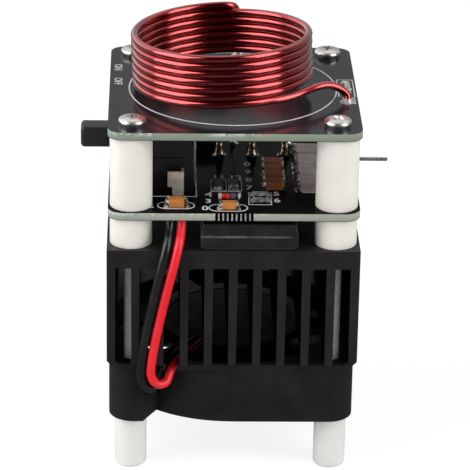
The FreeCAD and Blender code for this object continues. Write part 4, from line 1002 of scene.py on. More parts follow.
@dataclass
class Stack(Assembly):
    """The boards, spacers, legs and long screws that hold the rest together.

    The contact's corners are X from the tooth's middle, Y from the front edge, and Z from the board's underside
    for the lower one and from its top for the upper one.
    """

    place: float = 20.4
    bore: float = 1.7
    spacer: float = 4.225
    leg: float = 3.25
    leg_bore: float = 1.52
    leg_round: float = 0.9
    leg_flat: float = 0.3
    lip: float = 0.18
    lip_bulge: float = 0.3
    sides: int = 64
    thread_pitch: float = 0.5
    thread_root: float = 1.24
    thread_sides: int = 21
    shank: float = 1.49
    thread_rows: int = 5
    thread_top: float = 50.6
    overlap: Flat = (0.2, 0.1)
    head_place: float = 20.2
    head_height: float = 1.74
    head_section: tuple[Flat, ...] = (
        (0.9, 1.70), (1.6, 1.60), (2.1, 1.46), (2.4, 1.34), (2.58, 1.22), (2.70, 1.05), (2.755, 0.85), (2.74, 0.66),
        (2.66, 0.5), (2.5, 0.0),
    )  # fmt: skip
    slot_length: float = 1.55
    slot_width: float = 0.42
    slot_depth: float = 0.75
    slot_taper: float = 0.4
    slot_clearance: float = 0.3
    head_edge: float = 0.05
    head_turns: tuple[float, ...] = (4.0, 52.0, 8.0, 78.0)
    comb_pitch: float = 0.88
    comb_teeth: int = 8
    contact: tuple[Spot, Spot] = ((-0.15, -0.02, 0.06), (0.15, 0.06, -0.04))
    contact_edge: float = 0.02

    def corners(self, z: float, place: float | None = None) -> list[Spot]:
        """The four screw places at a height."""
        reach = place or self.place
        return [(x * reach, y * reach, z) for x, y in ((-1, -1), (1, -1), (-1, 1), (1, 1))]

    def build(self) -> None:
        """Makes and dresses every piece."""
        self.dress_boards()
        self.build_contacts()
        self.build_sleeves()
        self.build_legs()
        self.build_shanks()
        self.build_heads()

    def dress_boards(self) -> None:
        """Gives both boards their mask and cut edges."""
        top = {"colour": (0.014, 0.016, 0.020), "drift": (0.019, 0.021, 0.026), "specular": 0.34}
        driver = {"colour": (0.005, 0.005, 0.006), "drift": (0.008, 0.007, 0.007), "specular": 0.02}
        driver |= {"edge_low": (0.29, 0.31, 0.25), "edge_high": (0.40, 0.41, 0.36), "comb_reach": 3.8}
        shared = {"drift_scale": 90.0, "roughness": 0.15, "gloss_spread": 0.05, "grain": 0.15}
        shared |= {"grain_scale": 1400.0, "grain_depth": 0.00003, "comb_pitch": self.comb_pitch}
        for node, own in (("top_board", top), ("driver_board", driver)):
            low, high = span(node)
            middle, half = (low.z + high.z) / 2, (high.z - low.z) / 2
            dress(BoardFinish(f"{node} mask", middle=middle, half=half, **shared, **own), node)

    def build_contacts(self) -> None:
        """The row of tinned bites in the driver board's front edge."""
        low, high = span("driver_board")
        (left, front, under), (right, back, over) = self.contact
        ends = (left, low.y + front, low.z + under), (right, low.y + back, high.z + over)
        bar = rounded_block(*ends, self.contact_edge, segments=1)
        middle = (self.comb_teeth - 1) / 2
        teeth = [(self.comb_pitch * (tooth - middle), 0.0, 0.0) for tooth in range(self.comb_teeth)]
        finished("edge_contacts", self.growths.stand(bar, DULL_TIN, teeth), DULL_TIN)

    def build_sleeves(self) -> None:
        """The eight spacers, four to a piece, with softened rims."""
        inset, outset = self.lip, self.lip * self.lip_bulge
        for tier in ("upper", "lower"):
            nodes = named(f"{tier}_spacer")
            low, high = span(nodes[0])
            outer, top = self.spacer, high.z - low.z
            section = [(self.bore, 0.0), (outer - inset, 0.0), (outer - outset, outset), (outer, inset)]
            section += [(outer, top - inset), (outer - outset, top - outset), (outer - inset, top), (self.bore, top)]
            copies = self.growths.stand(turned(section, self.sides), NYLON, self.corners(low.z))
            finished(f"{tier}_spacers", copies, NYLON, nodes)

    def build_legs(self) -> None:
        """The four legs, with a rounded foot and a chamfered top."""
        nodes = named("leg_")
        low, high = span(nodes[0])
        section = [(self.leg_bore, 0.0), (self.leg_bore + self.leg_flat, 0.0)]
        for angle in (math.radians(90 - 18 * step) for step in range(6)):
            out = self.leg - self.leg_round + self.leg_round * math.cos(angle)
            section.append((out, self.leg_round * (1 - math.sin(angle))))
        top = high.z - low.z
        section += [(self.leg, top - self.lip), (self.leg - self.lip, top), (self.leg_bore, top)]
        copies = self.growths.stand(turned(section, self.sides), COOL_NYLON, self.corners(low.z))
        finished("legs", copies, COOL_NYLON, nodes)

    def thread_tree(self) -> Growth:
        """A tree that makes a threaded shank on every point of its seed, from a sheet wrapped round Z.

        Returns:
            The tree.
        """
        names = ("Root", "Crest", "Pitch", "Low", "High")
        sizes = dict.fromkeys(names, Socket.FLOAT) | {"Around": Socket.INT, "Along": Socket.INT}
        tree = Growth("threaded shanks", sizes)
        root, crest, pitch, low, high = (tree.given[name] for name in names)
        counts = {"Vertices X": tree.given["Around"], "Vertices Y": tree.given["Along"]}
        sheet = tree.add("GeometryNodeMeshGrid", {"Size X": 1.0, "Size Y": 1.0, **counts})
        x, y, _ = tree.parts(tree.add("GeometryNodeInputPosition"))
        around, share = tree.math("ADD", x, 0.5), tree.math("ADD", y, 0.5)
        height = tree.math("MULTIPLY_ADD", tree.math("SUBTRACT", high, low), share, low)
        phase = tree.math("SUBTRACT", tree.math("DIVIDE", height, pitch), around)
        ridge = tree.times(tree.math("PINGPONG", phase, 0.5), 2.0)
        radius = tree.math("MULTIPLY_ADD", tree.math("SUBTRACT", crest, root), ridge, root)
        # The sheet's two ends are drawn in to the axis, which closes the shank.
        radius = tree.times(radius, tree.math("COMPARE", share, 0.5, 0.4999))
        angle = tree.times(around, 2 * math.pi)
        flat = [tree.times(radius, tree.math(way, angle)) for way in ("COSINE", "SINE")]
        bent = tree.add("ShaderNodeCombineXYZ", dict(enumerate((*flat, height))))
        wrapped = tree.add("GeometryNodeSetPosition", {"Geometry": sheet, "Position": bent})
        return tree.repeat(tree.add("GeometryNodeMergeByDistance", {"Geometry": wrapped, "Distance": 0.002}))

    def build_shanks(self) -> None:
        """The shanks, threaded up into the lower spacers and plain above."""
        low, under_head = span("long_screws")[0].z, span("top_board")[1].z
        threads = self.thread_tree().grow(
            seeds(self.corners(0.0)),
            PAINTED_GLINT_THREAD,
            Root=self.thread_root,
            Crest=self.shank,
            Pitch=self.thread_pitch,
            Low=low,
            High=self.thread_top,
            Around=self.thread_sides,
            Along=int(self.thread_rows * (self.thread_top - low) / self.thread_pitch) + 1,
        )
        under, over = self.overlap
        ends = self.thread_top - under, under_head + over
        section = [(0.0, ends[0]), (self.thread_root, ends[0]), (self.thread_root, ends[1]), (0.0, ends[1])]
        plain = self.growths.stand(turned(section, steps=24), PAINTED_GLINT_THREAD, self.corners(0.0))
        finished("screw_shanks", joined((threads, plain)), PAINTED_GLINT_THREAD, sharp=SHARP_ON_ROUND)

    def build_heads(self) -> None:
        """The four domed heads, each with a cross recess."""
        blank = linked("blank", turned([(0.0, self.head_height), *self.head_section, (0.0, 0.0)], steps=96))
        long, half = self.slot_length, self.slot_width
        arm = ((long, -half), (long, half), (half, half))
        quarters = ((1, 0), (0, 1), (-1, 0), (0, -1))
        cross = [(a * x - b * y, b * x + a * y) for a, b in quarters for x, y in arm]
        floor = self.head_height - self.slot_depth
        drive = linked("drive", prism(cross, floor, self.head_height + self.slot_clearance, self.slot_taper))
        cut = blank.modifiers.new("recess", "BOOLEAN")
        cut.operation = "DIFFERENCE"
        cut.solver = "EXACT"
        cut.object = drive
        bevelled(blank, self.head_edge, 2, SHARP)
        head = evaluated(blank)
        bpy.data.objects.remove(drive)
        spots = self.corners(span("top_board")[1].z, self.head_place)
        copies = self.growths.stand(head, SATIN_STEEL, spots, self.head_turns)
        finished("screw_heads", copies, SATIN_STEEL, ["long_screws"])


@dataclass
class Cooler(Assembly):
    """The heatsink and the fan under it."""

    eased: tuple[Eased, ...] = (
        Eased("finned_sink", "heatsink", 0.1, ANODISED, "anodised_black"),
        Eased("fan_housing", "fan_frame", 0.14, FAN_PLASTIC, "fan_plastic"),
        Eased("fan_blades", "fan_rotor", 0.12, ROTOR_PLASTIC, "fan_rotor_plastic", body=SPINNER),
    )
    dressed: tuple[tuple[Finish, str], ...] = (
        (LABEL, "fan_label"), (FERRITE, "rotor_magnet"), (SHAFT, "rotor_shaft"), (CLIP, "shaft_clip"),
        (BRONZE, "fan_bearing"), (CORE, "stator_core"), (COPPER, "stator_windings"), (MOTOR_BOARD, "motor_board"),
    )  # fmt: skip


@dataclass
class Winding(Assembly):
    """The open coil of enamelled wire on the top board.

    The heights of its leads, of its feet and of its solder are over the board. The lower lead meets the first
    turn in a straight arrival. The upper one runs on from the last turn over two distances, with a sag at the
    second, and then stands up straight from its foot as far as the bend.
    """

    radius: float = 17.5
    pitch: float = 1.57
    turns: float = 6.625
    start: float = -45.0
    tilt: float = -2.6
    lean: float = -2.7
    offset: float = -2.05
    lift: float = 2.05
    wire: float = 0.78
    sides: int = 20
    wobble: float = 0.3
    wobble_scale: float = 0.9
    wobble_rise: float = 0.35
    fade: float = 4.0
    seed: float = 4.0
    table: float = 74.3
    steps_a_turn: int = 88
    leaving: float = 0.064
    lower: tuple[Spot, ...] = (
        (22.7, -7.2, 0.0), (22.9, -6.9, 0.5), (22.8, -6.5, 1.3), (21.9, -6.4, 2.2), (20.5, -6.7, 3.1),
        (19.1, -7.2, 3.65), (17.4, -8.2, 3.85), (15.6, -9.6, 3.75), (13.8, -11.2, 3.6), (11.6, -13.0, 3.35),
        (9.2, -14.5, 3.25),
    )  # fmt: skip
    arrival: float = 1.5
    running: Flat = (2.2, 3.5)
    sag: Spot = (0.0, 1.6, -1.2)
    bend: float = 6.4
    lower_foot: Flat = (22.75, -7.1)
    upper_foot: Flat = (1.6, 20.4)
    spare_holes: tuple[Flat, ...] = ((22.9, 3.9), (23.2, 0.3))
    pads: tuple[tuple[Spot, Spot], ...] = (
        ((21.9, -8.3, 0.0), (24.5, -4.7, 0.06)),
        ((22.7, -2.4, 0.0), (23.9, 4.2, 0.05)),
    )
    pad_edge: float = 0.02
    foot: tuple[Flat, ...] = ((0.0, 0.0), (1.45, 0.0), (1.2, 0.12), (0.98, 0.34), (0.84, 0.75), (0.0, 0.9))
    drop: tuple[Flat, ...] = ((0.0, 0.0), (0.95, 0.0), (0.82, 0.14), (0.5, 0.3), (0.0, 0.38))

    def middle(self) -> Spot:
        """Where the coil's own axis starts."""
        return (self.offset, 0.0, self.table + self.lift)

    def spot(self, turns: float) -> Vector:
        """A point of the winding.

        Args:
            turns: How many turns it lies after the start.

        Returns:
            The point.
        """
        stand = Matrix.Translation(self.middle()) @ turn(self.lean, "Y") @ turn(self.tilt, "X")
        flat = polar(self.radius, math.radians(self.start) - 2 * math.pi * turns)
        return stand @ Vector((*flat, self.pitch * turns))

    def way(self, turns: float) -> Vector:
        """The winding's direction at a point."""
        return (self.spot(turns + 0.001) - self.spot(turns - 0.001)).normalized()

    def tree(self) -> Growth:
        """A tree that lays the turns by rule and draws the wire along them and both leads.

        Returns:
            The tree.
        """
        names = ("Radius", "Turn Pitch", "Turns", "Start", "Tilt", "Lean", "Wire Radius", "Wobble", "Seed")
        sizes = dict.fromkeys(names, Socket.FLOAT) | {"Middle": Socket.VECTOR, "Sides": Socket.INT}
        tree = Growth("wound wire", sizes)
        given, along = tree.given, tree.attribute("turn", "FLOAT")
        angle = tree.math("MULTIPLY_ADD", along, -2 * math.pi, given["Start"])
        compass = [tree.math(way, angle) for way in ("COSINE", "SINE")]
        drift = tree.add("ShaderNodeCombineXYZ", dict(enumerate((*compass, tree.times(along, self.wobble_rise)))))
        noise = {"Vector": drift, "W": given["Seed"], "Scale": self.wobble_scale, "Detail": 0.0}
        wave = tree.math("SUBTRACT", tree.add("ShaderNodeTexNoise", noise, noise_dimensions="4D"), 0.5)
        left = tree.math("SUBTRACT", given["Turns"], along)
        fades = [tree.math("MINIMUM", tree.times(run, self.fade), 1.0) for run in (along, left)]
        wave = tree.times(wave, tree.times(*fades))
        reach = tree.math("MULTIPLY_ADD", wave, given["Wobble"], given["Radius"])
        flat = [tree.times(reach, part) for part in compass]
        height = tree.times(along, given["Turn Pitch"])
        own = tree.add("ShaderNodeCombineXYZ", dict(enumerate((*flat, height))))
        for axis, name in (("X_AXIS", "Tilt"), ("Y_AXIS", "Lean")):
            own = tree.add("ShaderNodeVectorRotate", {"Vector": own, "Angle": given[name]}, rotation_type=axis)
        laid = tree.add("ShaderNodeVectorMath", {0: own, 1: given["Middle"]}, operation="ADD")
        inputs = {"Geometry": tree.line(), "Selection": tree.math("GREATER_THAN", along, -0.5), "Position": laid}
        return tree.sweep(tree.add("GeometryNodeSetPosition", inputs), tree.circle("Wire Radius"))

    def lower_lead(self) -> list[Spot]:
        """The smooth line from the board's edge to the first turn.

        Returns:
            Its points.
        """
        low, way = self.spot(self.leaving), self.way(self.leaving)
        points = [(x, y, self.table + z) for x, y, z in self.lower]
        return smooth_route([*points, tuple(low - way * self.arrival), tuple(low)])

    def upper_lead(self) -> list[Spot]:
        """The smooth line from the last turn down to the back of the board.

        Returns:
            Its points.
        """
        high, way = self.spot(self.turns), self.way(self.turns)
        near, far = self.running
        crook = high + way * far + Vector(self.sag)
        down = [(*self.upper_foot, self.table + self.bend), (*self.upper_foot, self.table)]
        return smooth_route([tuple(high), tuple(high + way * near), tuple(crook), *down])

    def build(self) -> None:
        """Makes the wire, with the turn that each of its points lies at, or -1 on a lead, as an attribute."""
        lower, upper = self.lower_lead(), self.upper_lead()
        steps, run = int(self.steps_a_turn * self.turns), self.turns - self.leaving
        coiled = [self.leaving + run * step / steps for step in range(steps + 1)]
        seed = chains([[*lower[:-1], *(tuple(self.spot(at)) for at in coiled), *upper[1:]]])
        turns = [-1.0] * (len(lower) - 1) + coiled + [-1.0] * (len(upper) - 1)
        seed.attributes.new("turn", "FLOAT", "POINT").data.foreach_set("value", turns)
        wire = self.tree().grow(
            seed,
            ENAMEL,
            Radius=self.radius,
            Turn_Pitch=self.pitch,
            Turns=self.turns,
            Start=math.radians(self.start),
            Tilt=math.radians(self.tilt),
            Lean=math.radians(self.lean),
            Wire_Radius=self.wire,
            Wobble=self.wobble,
            Seed=self.seed,
            Middle=self.middle(),
            Sides=self.sides,
        )
        finished("coil", wire, ENAMEL, ["coil_winding"], sharp=SHARP_ON_ROUND)
        self.build_solder()

    def build_solder(self) -> None:
        """The pads beside the lower lead and the solder round both feet."""
        foot, drop = turned(self.foot, steps=28), turned(self.drop, steps=24)
        feet, drops = (
            self.growths.stand(mesh, DULL_TIN, [(*spot, self.table) for spot in spots])
            for mesh, spots in ((foot, (self.lower_foot, self.upper_foot)), (drop, self.spare_holes))
        )
        raised = [[(x, y, self.table + z) for x, y, z in pad] for pad in self.pads]
        pads = [rounded_block(low, high, self.pad_edge, segments=1) for low, high in raised]
        finished("coil_solder", joined((feet, drops, *pads)), DULL_TIN, sharp=SHARP_ON_ROUND)


@dataclass(frozen=True)
class Lead:
    """One fan lead: points in X, Y and depth under its start, then points along, across and over the channel."""

    colour: str
    finish: Finish
    length: float
    hanging: tuple[Spot, ...]
    channelled: tuple[Spot, ...]


@dataclass
class FanLeads(Assembly):
    """The two sleeved leads from the driver board, in a loop, into the fan's lead channel."""

    diameter: float = 1.8
    board: float = 55.8
    level: float = 23.15
    outward: float = 240.0
    leads: tuple[Lead, ...] = (
        Lead(
            "red", PVC_RED, 0.0562,
            (
                (-10.3, -22.6, 0.0), (-10.3, -22.6, 2.4), (-10.9, -26.4, 5.0), (-12.2, -27.0, 10.4),
                (-14.0, -26.9, 18.2), (-15.5, -26.8, 25.6), (-16.3, -26.7, 31.0), (-16.3, -26.7, 33.4),
                (-15.2, -26.3, 35.4), (-13.2, -25.3, 35.6),
            ),
            ((26.9, 0.98, -1.6), (24.9, 0.98, 0.0), (21.6, 1.03, 0.05), (17.2, 0.93, 0.0), (13.05, 0.98, 0.0)),
        ),
        Lead(
            "black", PVC_BLACK, 0.0589,
            (
                (-12.6, -22.2, 0.0), (-12.6, -22.2, 2.4), (-13.2, -26.3, 5.0), (-14.6, -26.7, 10.4),
                (-16.2, -26.6, 18.2), (-17.6, -26.5, 25.6), (-18.4, -26.4, 31.4), (-18.3, -26.3, 34.4),
                (-17.2, -25.7, 36.7), (-15.4, -24.3, 37.1), (-14.5, -22.9, 35.6),
            ),
            ((26.0, -0.98, -1.0), (24.2, -0.98, 0.0), (21.4, -1.03, 0.05), (17.2, -0.93, 0.0), (13.05, -0.98, 0.0)),
        ),
    )  # fmt: skip

    def route(self, lead: Lead) -> list[Spot]:
        """The control points of a lead.

        Args:
            lead: The lead.

        Returns:
            Its points, in metres.
        """
        cosine, sine = polar(1.0, math.radians(self.outward))
        points = [(x, y, self.board - depth) for x, y, depth in lead.hanging]
        for reach, side, lift in lead.channelled:
            points.append((cosine * reach - sine * side, sine * reach + cosine * side, self.level + lift))
        return [tuple(MM * part for part in point) for point in points]

    def build(self) -> None:
        """Makes both leads and says what each is."""
        for lead in self.leads:
            name, points = f"lead_{lead.colour}", self.route(lead)
            piece = spline(points, order=3, fineness=12)
            piece.name = piece.data.name = name
            piece.data.bevel_depth = self.diameter * MM / 2
            piece.data.bevel_resolution = 5
            piece.data.use_fill_caps = True
            piece.data.materials.append(lead.finish.material())
            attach(piece, ROOT)
            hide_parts(f"fan_{name}")
            LOG.info("%s: a cord", name)


@dataclass
class PowerStage(Assembly):
    """The power transistor between the heatsink and the driver board."""

    case: Eased = Eased("transistor_case", "power_transistor", 0.22, EPOXY, "epoxy_black", 3)
    eased: tuple[Eased, ...] = (Eased("transistor_leads", "transistor_legs", 0.1, TIN, "tinned_metal"),)
    dressed: tuple[tuple[Finish, str], ...] = ((SILICONE, "thermal_pad"),)
    shoulder: float = 2.5
    cone: tuple[Flat, ...] = (
        (1.42, 0.16), (1.2, 0.55), (1.02, 1.1), (0.88, 1.8), (0.78, 2.5), (0.6, 2.86), (0.3, 2.98), (0.0, 3.0),
    )  # fmt: skip

    def build(self) -> None:
        """Makes and dresses every piece, the case with a painted highlight and some dust on its ridge."""
        low, high = span(self.case.node)
        colours = (0.006, 0.0055, 0.0055), (0.011, 0.010, 0.0095)
        ridge = (low.y, high.z - self.shoulder)
        self.case.build(DustyHighlitRidge("moulded case", *colours, 420.0, roughness=0.5, grain=0.6, ridge=ridge))
        super().build()
        self.build_joints()

    def build_joints(self) -> None:
        """Concave solder cones round the three legs."""
        low, high = span("solder_joints")
        radius, y = (high.y - low.y) / 2, (low.y + high.y) / 2
        left, right = low.x + radius, high.x - radius
        spots = [(x, y, low.z) for x in (left, (left + right) / 2, right)]
        cones = self.growths.stand(turned([(0.0, 0.0), (radius, 0.0), *self.cone], steps=32), STAINED_AND_SHADED, spots)
        finished("transistor_solder", cones, STAINED_AND_SHADED, ["solder_joints"], sharp=SHARP_ON_ROUND)


@dataclass
class Controls(Assembly):
    """The power socket, the slide switch and the antenna pin."""

    eased: tuple[Eased, ...] = (
        Eased("socket_body", "jack_housing", 0.18, SOCKET, "socket_plastic"),
        Eased("socket_pin", "jack_centre_pin", 0.12, TIN, "tinned_metal"),
        Eased("socket_contact", "jack_side_contact", 0.08, CONTACT, "tinned_metal"),
        Eased("switch_can", "switch_shell", 0.15, SHELL, "switch_metal"),
        Eased("switch_foot", "switch_base", 0.12, SOCKET, "switch_plastic"),
        Eased("switch_legs", "switch_terminals", 0.08, TIN, "tinned_metal"),
        Eased("knob", "switch_knob", 0.5, KNOB, "switch_plastic", 4, SLIDER),
    )
    dressed: tuple[tuple[Finish, str], ...] = ((TIN, "antenna_pin"),)


@dataclass(frozen=True)
class ChipRow:
    """Chip parts of one kind: a block between two plated ends, soldered down at both."""

    name: str
    stem: str
    finish: Finish
    slot: str
    cap: float = 0.6
    along_y: bool = False
    edge: float = 0.16
    flow: float = 0.45
    ends: Finish = DULL_TIN
    inset: Flat = (0.1, 0.06)
    seat: float = 0.05
    climb: float = 0.55
    fillet: tuple[Flat, ...] = ((1.0, 0.0), (0.45, 0.22), (0.15, 0.58), (0.0, 1.0))
    fillet_width: float = 0.92

    def build(self, growths: Growths) -> None:
        """Makes the blocks, ends and solder of the row.

        Args:
            growths: The trees that copy them.
        """
        nodes = named(self.stem)
        low, high = span(nodes[0])
        size = high - low
        length, width, angle = (size.y, size.x, 90.0) if self.along_y else (size.x, size.y, 0.0)
        spots = [((a.x + b.x) / 2, (a.y + b.y) / 2, a.z) for a, b in map(span, nodes)]
        angles = [angle] * len(spots)
        end, half, (tuck, shy) = length / 2, width / 2, self.inset
        block = rounded_block((-end + tuck, -half + shy, shy), (end - tuck, half - shy, size.z - shy), self.edge)
        finished(self.name, growths.stand(block, self.finish, spots, angles), self.finish, nodes)
        caps = [
            rounded_block((left, -half, 0.0), (right, half, size.z), self.edge)
            for left, right in ((-end, -end + self.cap), (end - self.cap, end))
        ]
        back, rise, reach = end - self.seat, size.z * self.climb, half * self.fillet_width
        slope = [(end + self.flow * out, rise * up) for out, up in self.fillet]
        fillet = moved(prism([(back, 0.0), *slope, (back, rise)], -reach, reach), (0, 0, 0), 90.0, "X")
        other = moved(fillet.copy(), (0, 0, 0), 180.0)
        soldered = growths.stand(joined((*caps, fillet, other)), self.ends, spots, angles)
        finished(f"{self.name}_ends", soldered, self.ends)


@dataclass
class SmallParts(Assembly):
    """The small parts on the driver board."""

    eased: tuple[Eased, ...] = (Eased("choke", "input_choke", 0.35, EPOXY, "epoxy_black", 3),)
    diode: float = 0.64
    bead: tuple[Flat, ...] = ((0.15, 0.0), (0.0, 0.15), (0.0, 0.62), (0.06, 0.72))
    rows: tuple[ChipRow, ...] = (
        ChipRow("tank_row", "tank_capacitor", BROWN, "capacitor_brown", 0.5, flow=0.3, ends=SHADE_AND_GLINT_SPECKED),
        ChipRow("filter_row", "filter_capacitor", GREY_PINK, "capacitor_grey", 0.7, flow=0.6, ends=SHADE_AND_GLINT_SPECKED),
        ChipRow("input_block", "input_capacitor", TAN, "capacitor_orange", 0.75, ends=SHADE_AND_GLINT_MOTTLED),
        ChipRow("gate_block", "gate_capacitor", TAN, "capacitor_orange", ends=SHADE_AND_GLINT_MOTTLED),
        ChipRow("clamp_row", "clamp_diode", EPOXY, "epoxy_black", 0.3, True, flow=0.35, ends=SHADE_AND_GLINT_MOTTLED),
        ChipRow("sense_row", "sense_resistor", STRIP, "resistor_black", 0.45, edge=0.08),
    )
    link_foot: tuple[Flat, ...] = ((0.0, 0.0), (1.15, 0.0), (0.85, 0.2), (0.6, 0.6), (0.48, 1.3), (0.0, 1.5))
    chip_half: Flat = (2.45, 1.92)
    chip_pitch: float = 1.27
    chip_lift: float = 0.2
    chip_edge: float = 0.16
    leg_radius: float = 0.12
    leg_flatness: float = 1.6
    chip_leg: tuple[Spot, ...] = (
        (0.0, 1.85, 0.85), (0.0, 2.25, 0.85), (0.0, 2.4, 0.2), (0.0, 2.5, 0.12), (0.0, 2.95, 0.12),
    )  # fmt: skip

    def build(self) -> None:
        """Makes and dresses every piece."""
        for row in self.rows:
            row.build(self.growths)
        self.build_diode()
        self.build_links()
        super().build()
        self.build_chip()

    def build_diode(self) -> None:
        """The little glass diode: at each end its bead is drawn in by some depth, some way from the end."""
        low, high = span("glass_diode")
        end, r, centre = (high.x - low.x) / 2, self.diode, (low.x + high.x) / 2
        first = [(r - depth, -end + way) for depth, way in self.bead]
        last = [(r - depth, end - way) for depth, way in reversed(self.bead)]
        lying = moved(turned([(0.0, -end), *first, *last, (0.0, end)], steps=32), (0, 0, 0), 90.0, "Y")
        colours = (0.78, 0.55, 0.54), (0.70, 0.50, 0.49)
        glass = BandedGlass("banded glass", *colours, roughness=0.2, coat=0.6, centre=centre, length=high.x - low.x)
        moved(lying, (centre, (low.y + high.y) / 2, low.z + r))
        finished("diode", lying, glass, ["glass_diode"])

    def build_links(self) -> None:
        """Bare link wires between the boards, with a little solder at each foot."""
        low, high = span("link_pins")
        radius = (high.y - low.y) / 2
        spots = [(x, low.y + radius) for x in (low.x + radius, high.x - radius)]
        wires = self.growths.wire([[(x, y, low.z), (x, y, high.z)] for x, y in spots], TIN, radius)
        finished("link_wires", wires, TIN, ["link_pins"])
        feet = self.growths.stand(turned(self.link_foot, steps=24), SOLDER, [(x, y, low.z) for x, y in spots])
        finished("link_solder", feet, SOLDER, sharp=SHARP_ON_ROUND)

    def build_chip(self) -> None:
        """The driver chip, with four flat bent leads on each side."""
        low, high = span("driver_chip")
        x, y = (low.x + high.x) / 2, (low.y + high.y) / 2
        long, wide = self.chip_half
        ends = (x - long, y - wide, low.z + self.chip_lift), (x + long, y + wide, high.z)
        body = rounded_block(*ends, self.chip_edge)
        finished("chip_body", body, EPOXY, ["driver_chip"])
        leg = self.growths.wire([smooth_route(self.chip_leg, fineness=4)], TIN, self.leg_radius, sides=8)
        leg.transform(Matrix.Diagonal((self.leg_flatness, 1.0, 1.0, 1.0)))
        spots = [(x + self.chip_pitch * step, y, low.z) for step in (-1.5, -0.5, 0.5, 1.5)] * 2
        legs = self.growths.stand(leg, TIN, spots, [0.0] * 4 + [180.0] * 4)
        finished("chip_leads", legs, TIN)


@dataclass
class Marks(Assembly):
    """The white print on both boards.

    Words are a text with its middle's X and Y, pills a middle, a length and a width, and frames the X and Y of
    two corners.
    """

    top: float = 74.3
    driver: float = 57.4
    stroke: float = 0.24
    lift: float = 0.02
    bold: float = 0.045
    sharp: float = 20.0
    type_size: float = 1.42
    word_height: float = 1.65
    number_height: float = 2.0
    ring: float = 21.0
    ring_back: float = 0.4
    ring_steps: int = 128
    ring_stroke: float = 0.3
    pad_stroke: float = 0.32
    pad_box: tuple[Flat, ...] = ((21.3, -4.3), (21.3, 5.5), (24.5, 5.5), (24.5, -4.3))
    switch_words: tuple[tuple[str, float, float], ...] = (("ON", -23.4, 12.1), ("OFF", -23.35, 3.8))
    numbers: tuple[tuple[str, float, float], ...] = (
        ("2", -16.6, -21.3), ("0", -5.75, -22.4), ("4", -4.95, -15.3), ("3", -5.05, -18.7), ("5", 8.6, -14.8),
        ("6", 8.65, -18.2), ("11", -2.8, -6.2), ("12", 0.6, -6.2), ("0", 3.2, 1.0), ("9", 3.25, -3.2),
        ("8", 3.25, -7.4), ("7", 3.25, -11.6),
    )  # fmt: skip
    pills: tuple[tuple[float, float, float, float], ...] = ((-11.5, -21.0, 7.3, 3.4), (-1.15, -22.1, 7.6, 3.4))
    frames: tuple[tuple[float, float, float, float], ...] = (
        (-4.35, -13.3, -1.35, -7.5), (-0.85, -13.3, 1.75, -7.5), (3.1, -17.3, 7.6, -14.2), (3.0, -20.4, 7.5, -17.35),
    )
    lines: tuple[tuple[Flat, ...], ...] = (
        ((-16.1, -16.4), (-7.4, -16.4), (-7.4, -1.2)),
        ((-4.5, -16.6), (-4.5, -13.7), (1.4, -13.7), (1.4, -16.6)),
        ((13.9, -13.9), (18.4, -13.9)),
    )

    def build(self) -> None:
        """Prints both boards."""
        finished("top_print", joined(self.top_marks()), PRINT, sharp=self.sharp)
        finished("driver_print", joined(self.driver_marks()), PRINT, sharp=self.sharp)

    def word(self, text: str, spot: Spot, height: float, angle: float = 0.0) -> Mesh:
        """A flat word.

        Args:
            text: The word.
            spot: Its middle.
            height: The height of its letters.
            angle: Its turn about Z.

        Returns:
            The word's mesh.
        """
        curve = bpy.data.curves.new("word", "FONT")
        curve.body = text
        curve.size = height * self.type_size
        curve.align_x = curve.align_y = "CENTER"
        curve.extrude = self.lift
        curve.offset = self.bold
        curve.resolution_u = 3
        return moved(evaluated(linked("word", curve)), spot, angle)

    def pill(self, x: float, y: float, length: float, width: float) -> list[Flat]:
        """A long outline with round ends.

        Args:
            x: Its middle.
            y: Its middle.
            length: Its length.
            width: Its width.

        Returns:
            Its points.
        """
        points = []
        for side, first in ((1, -90), (-1, 90)):
            for step in range(13):
                across, up = polar(width / 2, math.radians(first + 15 * step))
                points.append((x + side * (length - width) / 2 + across, y + up))
        return points

    def top_marks(self) -> list[Mesh]:
        """The circle, the box round the pads, and the words by the switch.

        Returns:
            The mesh of each.
        """
        z = self.top + self.lift
        circle = [polar(self.ring, 2 * math.pi * step / self.ring_steps) for step in range(self.ring_steps)]
        return [
            self.growths.stroke([[(x, self.ring_back + y, z) for x, y in circle]], self.ring_stroke, closed=True),
            self.growths.stroke([[(x, y, z) for x, y in self.pad_box]], self.pad_stroke),
            *(self.word(text, (x, y, z), self.word_height, -90.0) for text, x, y in self.switch_words),
        ]

    def driver_marks(self) -> list[Mesh]:
        """Outlines round the small parts, and their numbers.

        Returns:
            The mesh of each.
        """
        z = self.driver + self.lift
        loops = [self.pill(*pill) for pill in self.pills]
        loops += [[(a, b), (c, b), (c, d), (a, d)] for a, b, c, d in self.frames]
        strokes = [
            self.growths.stroke([[(*spot, z) for spot in path] for path in paths], self.stroke, closed)
            for paths, closed in ((loops, True), (self.lines, False))
        ]
        return strokes + [self.word(text, (x, y, z), self.number_height) for text, x, y in self.numbers]


# ---- Studio ----
@dataclass(frozen=True)
class SoftBox:
    """A large lamp: its direction from the object, distance, width, height and power."""

    azimuth: float
    elevation: float
    distance: float
    width: float
    height: float
    power: float


